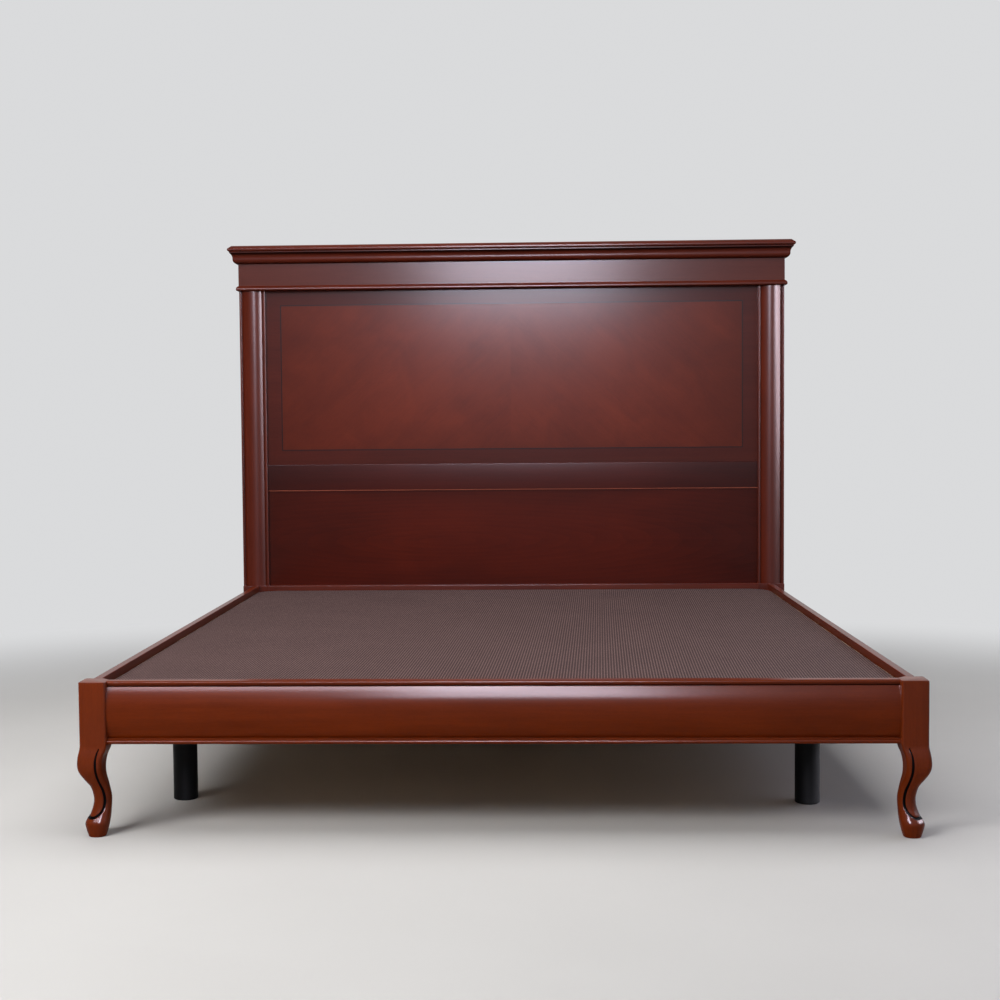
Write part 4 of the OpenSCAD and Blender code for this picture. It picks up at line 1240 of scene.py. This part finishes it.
    def carve(self, points: Array) -> Array:
        """Cuts the scrolled line and the hollow beside it into the outer faces, changing points in place.

        The line's depth falls off as a bell of the distance from it. On the knee's side the wood is hollowed
        towards the line, more so lower down, and on the other side it rises a little into a rounded lip.

        Args:
            points: (rings, around, 3) of (in from the side, in from the front, height).

        Returns:
            How black each point is, from 0 to 1.
        """
        around = np.roll(points, -1, 1) - np.roll(points, 1, 1)
        rise = np.gradient(points, axis=0)
        normal = np.cross(around, rise)
        normal /= np.linalg.norm(normal, axis=-1, keepdims=True) + 1e-9
        outward = points[..., :2] - points[..., :2].mean(1, keepdims=True)
        normal *= np.sign((normal[..., :2] * outward).sum(-1, keepdims=True) + 1e-12)
        facing = -normal[..., 1] > -normal[..., 0]
        across = np.where(facing, points[..., 0], points[..., 1])
        signed, along = self.scroll_distance(across, points[..., 2])
        turned = np.maximum(-normal[..., 1], -normal[..., 0])
        shown = np.clip((turned - 0.1) / 0.2, 0, 1)
        gap = np.abs(signed)
        width = self.groove_w * np.clip(0.45 + along * 3.0, 0, 1)
        bell = np.exp(-((gap / width) ** 2))
        low = np.clip((along - 0.25) / 0.45, 0, 1)
        hollow = self.recess * low * np.exp(-((gap / self.hollow_w) ** 2)) * (signed < 0)
        lip_bell = np.exp(-(((gap - self.lip_out) / self.lip_w) ** 2))
        lip = self.lip * (0.4 + 0.9 * low) * lip_bell * (signed > 0)
        depth = (self.groove_d * bell + hollow - lip) * shown
        points -= normal * depth[..., None]
        return np.clip((1.25 - gap / width) * 1.3, 0, 1) * shown

    def build(self) -> None:
        """Builds both legs from the same grid."""
        grid, paint = self.grid()
        for side in Side:
            word = side.name.lower()
            place = grid.reshape(-1, 3).copy()
            place[:, 0] = side.value * (self.outer_x - place[:, 0])
            piece = make_piece(f"{word}_carved_leg", place, ring_faces(*grid.shape[:2]), 40)
            layer = piece.data.attributes.new("groove", "FLOAT", "POINT")
            layer.data.foreach_set("value", paint.ravel().astype(np.float32))
            look = Mahogany(f"{word}_leg_mahogany", LEG_LIGHT, LEG_DARK, Grain.ALONG_Z, streaks=0.4,
                            clouds=0.5, seed=10.0 + side.value, groove=True)
            self.finish(piece, look, "leg_mahogany", f"{word}_cabriole_leg")


# Platform


@dataclass
class Platform(SubAssembly):
    """The fabric-covered platform, its wood and its support legs."""

    body: str = "platform"
    half_x: float = 908.0
    y0: float = 44.0
    y1: float = 2058.0
    low: float = 274.5
    top: float = 338.0
    corner: float = 80.0
    soft_edge: float = 5.0
    cloth_t: float = 1.2
    support_r: float = 30.0
    support_top: float = 271.5
    support_foot_round: float = 3.0
    support_top_round: float = 1.2

    def outline(self, inset: Array, wave: Array) -> Array:
        """Rounded rectangles, one for each inset.

        Each corner is a quarter circle of radius corner less inset, and the straights between are divided
        evenly. The wave moves the edge in and out by a fraction of a millimetre, as padded cloth does.

        Args:
            inset: Distance in from the platform's edge, one for each ring.
            wave: Share of the edge's waviness, one for each ring.

        Returns:
            Points (rings, around, 2) of (x, y).
        """
        turn, gap = np.linspace(0, 90, 16), 60
        mid_y, half_y = (self.y0 + self.y1) / 2, (self.y1 - self.y0) / 2
        d = inset[:, None]
        r = np.maximum(self.corner - d, 0.5)
        signs = ((1, 1), (-1, 1), (-1, -1), (1, -1))
        parts = []
        for k, (sx, sy) in enumerate(signs):
            a = np.radians(turn + 90 * k)
            cx, cy = sx * (self.half_x - d - r), sy * (half_y - d - r)
            corner = np.stack([cx + r * np.cos(a), mid_y + cy + r * np.sin(a)], -1)
            nx, ny = signs[(k + 1) % 4]
            b = math.radians(90 * (k + 1))
            start = corner[:, -1:]
            end = np.stack([nx * (self.half_x - d - r) + r * math.cos(b),
                            mid_y + ny * (half_y - d - r) + r * math.sin(b)], -1)
            share = np.linspace(0, 1, gap + 2)[1:-1][None, :, None]
            parts += [corner, start + (end - start) * share]
        flat = np.concatenate(parts, 1)
        s = np.linspace(0, 2 * math.pi, flat.shape[1], endpoint=False)
        ripple = 0.35 * np.sin(23 * s + 1.0) + 0.3 * np.sin(41 * s + 2.2) + 0.25 * np.sin(67 * s) - 0.9
        centre = np.array([0.0, mid_y])
        away = (flat - centre) / np.linalg.norm(flat - centre, axis=-1, keepdims=True)
        return flat + away * (ripple[None, :] * wave[:, None])[..., None]

    def cover(self) -> None:
        """The cloth: rings up the side, over a soft edge and across the top."""
        edge = self.soft_edge
        a = np.radians(np.linspace(0, 90, 8))
        inset = np.concatenate([[2.2, 0.6, 0.1], edge * (1 - np.cos(a)), [7, 10, 16, 30, 70, 200, 500, 800]])
        z = np.concatenate([[self.low, self.low + 2, self.low + 20], self.top - edge + edge * np.sin(a),
                            np.full(8, self.top)])
        wave = np.concatenate([[0.3, 0.4, 0.8], np.linspace(1, 0.6, 8), [0.5, 0.3, 0.1], np.zeros(5)])
        rings = self.outline(inset, wave)
        dip = np.concatenate([np.zeros(11), [0.0, 0.2, 0.35, 0.35, 0.3, 0.25, 0.2, 0.2]])
        s = np.linspace(0, 2 * math.pi, rings.shape[1], endpoint=False)
        pull = dip[:, None] * (1 + 0.35 * np.sin(31 * s)[None, :] * (inset[:, None] < 60))
        height = np.broadcast_to(z[:, None], rings.shape[:2]) - pull
        points = np.concatenate([rings, height[..., None]], -1)
        faces = ring_faces(*rings.shape[:2], ends=False)
        faces.append((np.arange(rings.shape[1]) + (len(z) - 1) * rings.shape[1]).tolist())
        piece = make_piece("stretched_platform_cloth", points.reshape(-1, 3), faces, 60)
        solid = piece.modifiers.new("cloth_thickness", "SOLIDIFY")
        solid.thickness = self.cloth_t * MM
        solid.offset = -1.0
        self.finish(piece, DottedFabric(), "cover_fabric", "fabric_cover")

    def supports(self) -> None:
        """Plain black legs: a profile of (radius, height) turned about each leg's own axis."""
        r, t, foot, head = self.support_r, self.support_top, self.support_foot_round, self.support_top_round
        profile = np.concatenate([
            [[0.1, 0.0], [r - foot - 0.4, 0.0]], arc(r - foot, foot, foot, -90, 0, 7),
            [[r, foot + 2], [r, t - head - 0.3]],
            arc(r - head, t - head, head, 0, 90, 4), [[0.1, t]]])
        a = np.linspace(0, 2 * math.pi, 72, endpoint=False)
        for node in ("front_left_support_leg", "front_right_support_leg", "rear_left_support_leg",
                     "rear_right_support_leg", "centre_support_leg"):
            low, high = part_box(node)
            cx, cy = (low.x + high.x) / 2 / MM, (low.y + high.y) / 2 / MM + MID_Y
            x, y = cx + profile[:, :1] * np.cos(a), cy + profile[:, :1] * np.sin(a)
            points = np.stack([x, y, np.broadcast_to(profile[:, 1:], x.shape)], -1)
            piece = make_piece(node.replace("support_leg", "black_leg"), points.reshape(-1, 3),
                               ring_faces(len(profile), len(a)), 40)
            self.finish(piece, BlackPlastic(), "black_legs", node)

    def build(self) -> None:
        """Builds the cloth and the legs, and dresses the wood and steel."""
        self.cover()
        self.supports()
        self.dress(Plywood(), "left_deck_board", "right_deck_board")
        self.dress(PINE_Y, "platform_side_battens", "platform_stringers")
        self.dress(PINE_X, "platform_end_battens", "platform_corner_blocks", "platform_bearers")
        self.dress(Zinc(), "support_plates", "plate_screws")


# Studio


@dataclass(frozen=True)
class Lamp:
    """A rectangular soft lamp, in metres.

    One that shines shows in the lacquer only, as a window does. One that doesn't lights the surfaces only.
    """

    name: str
    spot: tuple[float, float, float]
    aim: tuple[float, float, float]
    size: tuple[float, float]
    radiance: float
    colour: Colour
    shine: bool

    def hang(self) -> None:
        """Adds the lamp, turned towards its aim. Its power is four times its area times its radiance."""
        data = bpy.data.lights.new(self.name, "AREA")
        data.shape = "RECTANGLE"
        data.size, data.size_y = self.size
        data.energy = 4 * self.size[0] * self.size[1] * self.radiance
        data.color = self.colour
        lamp = bpy.data.objects.new(self.name, data)
        away = np.array(self.spot, float) - np.array(self.aim, float)
        away /= np.linalg.norm(away)
        side = np.cross([0.0, 0.0, 1.0], away)
        side /= np.linalg.norm(side)
        lamp.visible_camera = False
        lamp.visible_glossy = self.shine
        lamp.visible_diffuse = not self.shine
        lamp.matrix_world = placed(np.stack([side, np.cross(away, side), away], 1), self.spot)
        bpy.context.scene.collection.objects.link(lamp)


LAMPS = (
    Lamp("soft_key", (-2.5, -3.4, 2.65), (-0.1, 0.0, 0.6), (1.8, 1.3), 16.0, (1.0, 0.98, 0.96),
         shine=False),
    Lamp("soft_top", (-0.2, -0.6, 3.2), (-0.2, -0.5, 0.0), (3.2, 3.2), 2.6, (1.0, 0.99, 0.97),
         shine=False),
    Lamp("front_window", (0.02, -6.05, 3.22), (0.02, -1.0, 2.32), (1.45, 2.44), 112.0, (0.84, 0.84, 1.0),
         shine=True),
    Lamp("left_window", (-1.35, -5.6, 4.0), (-0.78, -1.0, 0.6), (2.7, 1.4), 62.0, (0.88, 0.86, 1.0),
         shine=True),
    Lamp("side_window", (3.4, -1.8, 2.25), (-0.9, 1.0, 1.5), (1.5, 1.8), 80.0, (0.86, 0.86, 1.0),
         shine=True),
    Lamp("right_window", (3.2, -0.1, 1.7), (0.0, -0.1, 1.5), (2.0, 1.8), 48.0, (0.9, 0.87, 1.0),
         shine=True),
)


def placed(turn: Array, spot: tuple) -> Matrix:
    """The matrix that turns by the columns of turn and then moves to the spot."""
    return Matrix([[*turn[i], spot[i]] for i in range(3)] + [[0, 0, 0, 1]])


@dataclass
class Studio:
    """Camera, soft lamps, pale floor and background.

    The camera's place is in millimetres of the layout, its angles are in degrees and the floor is in metres.
    """

    lens: float = 54.629
    shift: tuple[float, float] = (0.02129, 0.00147)
    place: tuple[float, float, float] = (77.4, -3350.1, 923.3)
    yaw: float = -2.0603
    pitch: float = 2.8448
    roll: float = -0.4824
    pale: Colour = (0.7, 0.705, 0.715)
    fade_from: float = 1.7
    fade_to: float = 3.6
    floor_half: float = 60.0
    room_light: float = 0.11

    def camera(self) -> None:
        """Puts the camera where the picture was taken from: forward from yaw and pitch, then the roll."""
        yaw, pitch, roll = (math.radians(v) for v in (self.yaw, self.pitch, self.roll))
        level = math.cos(pitch)
        forward = np.array([math.sin(yaw) * level, math.cos(yaw) * level, -math.sin(pitch)])
        right = np.array([math.cos(yaw), -math.sin(yaw), 0.0])
        up = np.cross(right, forward)
        rolled = right * math.cos(roll) + up * math.sin(roll)
        rolled_up = -right * math.sin(roll) + up * math.cos(roll)
        data = bpy.data.cameras.new("camera")
        data.lens = self.lens
        data.shift_x, data.shift_y = self.shift
        data.clip_end = 100.0
        camera = bpy.data.objects.new("camera", data)
        turn = np.stack([rolled, rolled_up, -forward], 1)
        spot = to_metres(np.array([self.place]))[0]
        camera.matrix_world = placed(turn, spot)
        bpy.context.scene.collection.objects.link(camera)
        bpy.context.scene.camera = camera

    def seen(self, tree: bpy.types.NodeTree) -> bpy.types.NodeSocket:
        """Finds out what a ray is for.

        Args:
            tree: The node tree to add to.

        Returns:
            1 for camera, glossy and transmission rays, 0 for the rest.
        """
        path = tree.nodes.new("ShaderNodeLightPath")
        total = path.outputs["Is Camera Ray"]
        for ray in ("Is Glossy Ray", "Is Transmission Ray"):
            node = tree.nodes.new("ShaderNodeMath")
            node.operation = "MAXIMUM"
            tree.links.new(total, node.inputs[0])
            tree.links.new(path.outputs[ray], node.inputs[1])
            total = node.outputs[0]
        return total

    def floor(self) -> None:
        """A wide pale floor that fades into the background's paleness with the distance from the bed."""
        mesh = bpy.data.meshes.new("floor")
        h = self.floor_half
        mesh.from_pydata([(-h, -h, 0), (h, -h, 0), (h, h, 0), (-h, h, 0)], [], [(0, 1, 2, 3)])
        floor = bpy.data.objects.new("floor", mesh)
        g = Graph("pale_floor")
        cloud = g.noise(g.spread(g.place, (1.5, 1.5, 1.5)), 3.0)
        shade = g.ramp(cloud, [(0.3, (0.49, 0.485, 0.48)), (0.7, (0.51, 0.505, 0.5))])
        g.wire(base_color=shade, roughness=0.8, specular_ior_level=0.1)
        near = g.spread(g.place, (0.85, 1.0, 0.0), shift=(0.0, 0.6, 0.0))
        far = g.add("ShaderNodeVectorMath", operation="LENGTH", i0=near).outputs["Value"]
        fade = g.add("ShaderNodeMapRange", interpolation_type="SMOOTHSTEP", i0=far, i1=self.fade_from,
                     i2=self.fade_to).outputs[0]
        glow = g.add("ShaderNodeEmission", i0=(*self.pale, 1.0), i1=1.0).outputs[0]
        share = g.math("MULTIPLY", fade, self.seen(g.tree))
        blend = g.add("ShaderNodeMixShader", i0=share, i1=g.shader.outputs[0], i2=glow)
        g.tree.links.new(blend.outputs[0], g.tree.nodes["Material Output"].inputs[0])
        mesh.materials.append(g.material)
        bpy.context.scene.collection.objects.link(floor)

    def background(self) -> None:
        """A pale room all round, whiter to the camera and in reflections than as a lamp."""
        world = bpy.data.worlds.new("pale_room")
        world.use_nodes = True
        bpy.context.scene.world = world
        tree = world.node_tree
        soft = tree.nodes["Background"]
        soft.inputs[0].default_value = (0.93, 0.96, 1.0, 1.0)
        soft.inputs[1].default_value = self.room_light
        shown = tree.nodes.new("ShaderNodeBackground")
        shown.inputs[0].default_value = (*self.pale, 1.0)
        shown.inputs[1].default_value = 1.0
        blend = tree.nodes.new("ShaderNodeMixShader")
        tree.links.new(self.seen(tree), blend.inputs[0])
        tree.links.new(soft.outputs[0], blend.inputs[1])
        tree.links.new(shown.outputs[0], blend.inputs[2])
        tree.links.new(blend.outputs[0], tree.nodes["World Output"].inputs[0])

    def build(self) -> None:
        """Sets up the whole studio."""
        bpy.context.scene.view_settings.view_transform = "Standard"
        self.camera()
        self.floor()
        self.background()
        for lamp in LAMPS:
            lamp.hang()


def main() -> None:
    """Builds the bed part by part, then the studio."""
    logging.basicConfig(level=logging.INFO, format="%(message)s")
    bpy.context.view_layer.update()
    palette = Palette()
    for kind in (Headboard, FootRail, SideRails, CabrioleLegs, Platform):
        part = kind(palette)
        part.build()
        log.info("%s done, %d pieces", type(part).__name__, part.count)
    Studio().build()


if __name__ == "__main__":
    main()
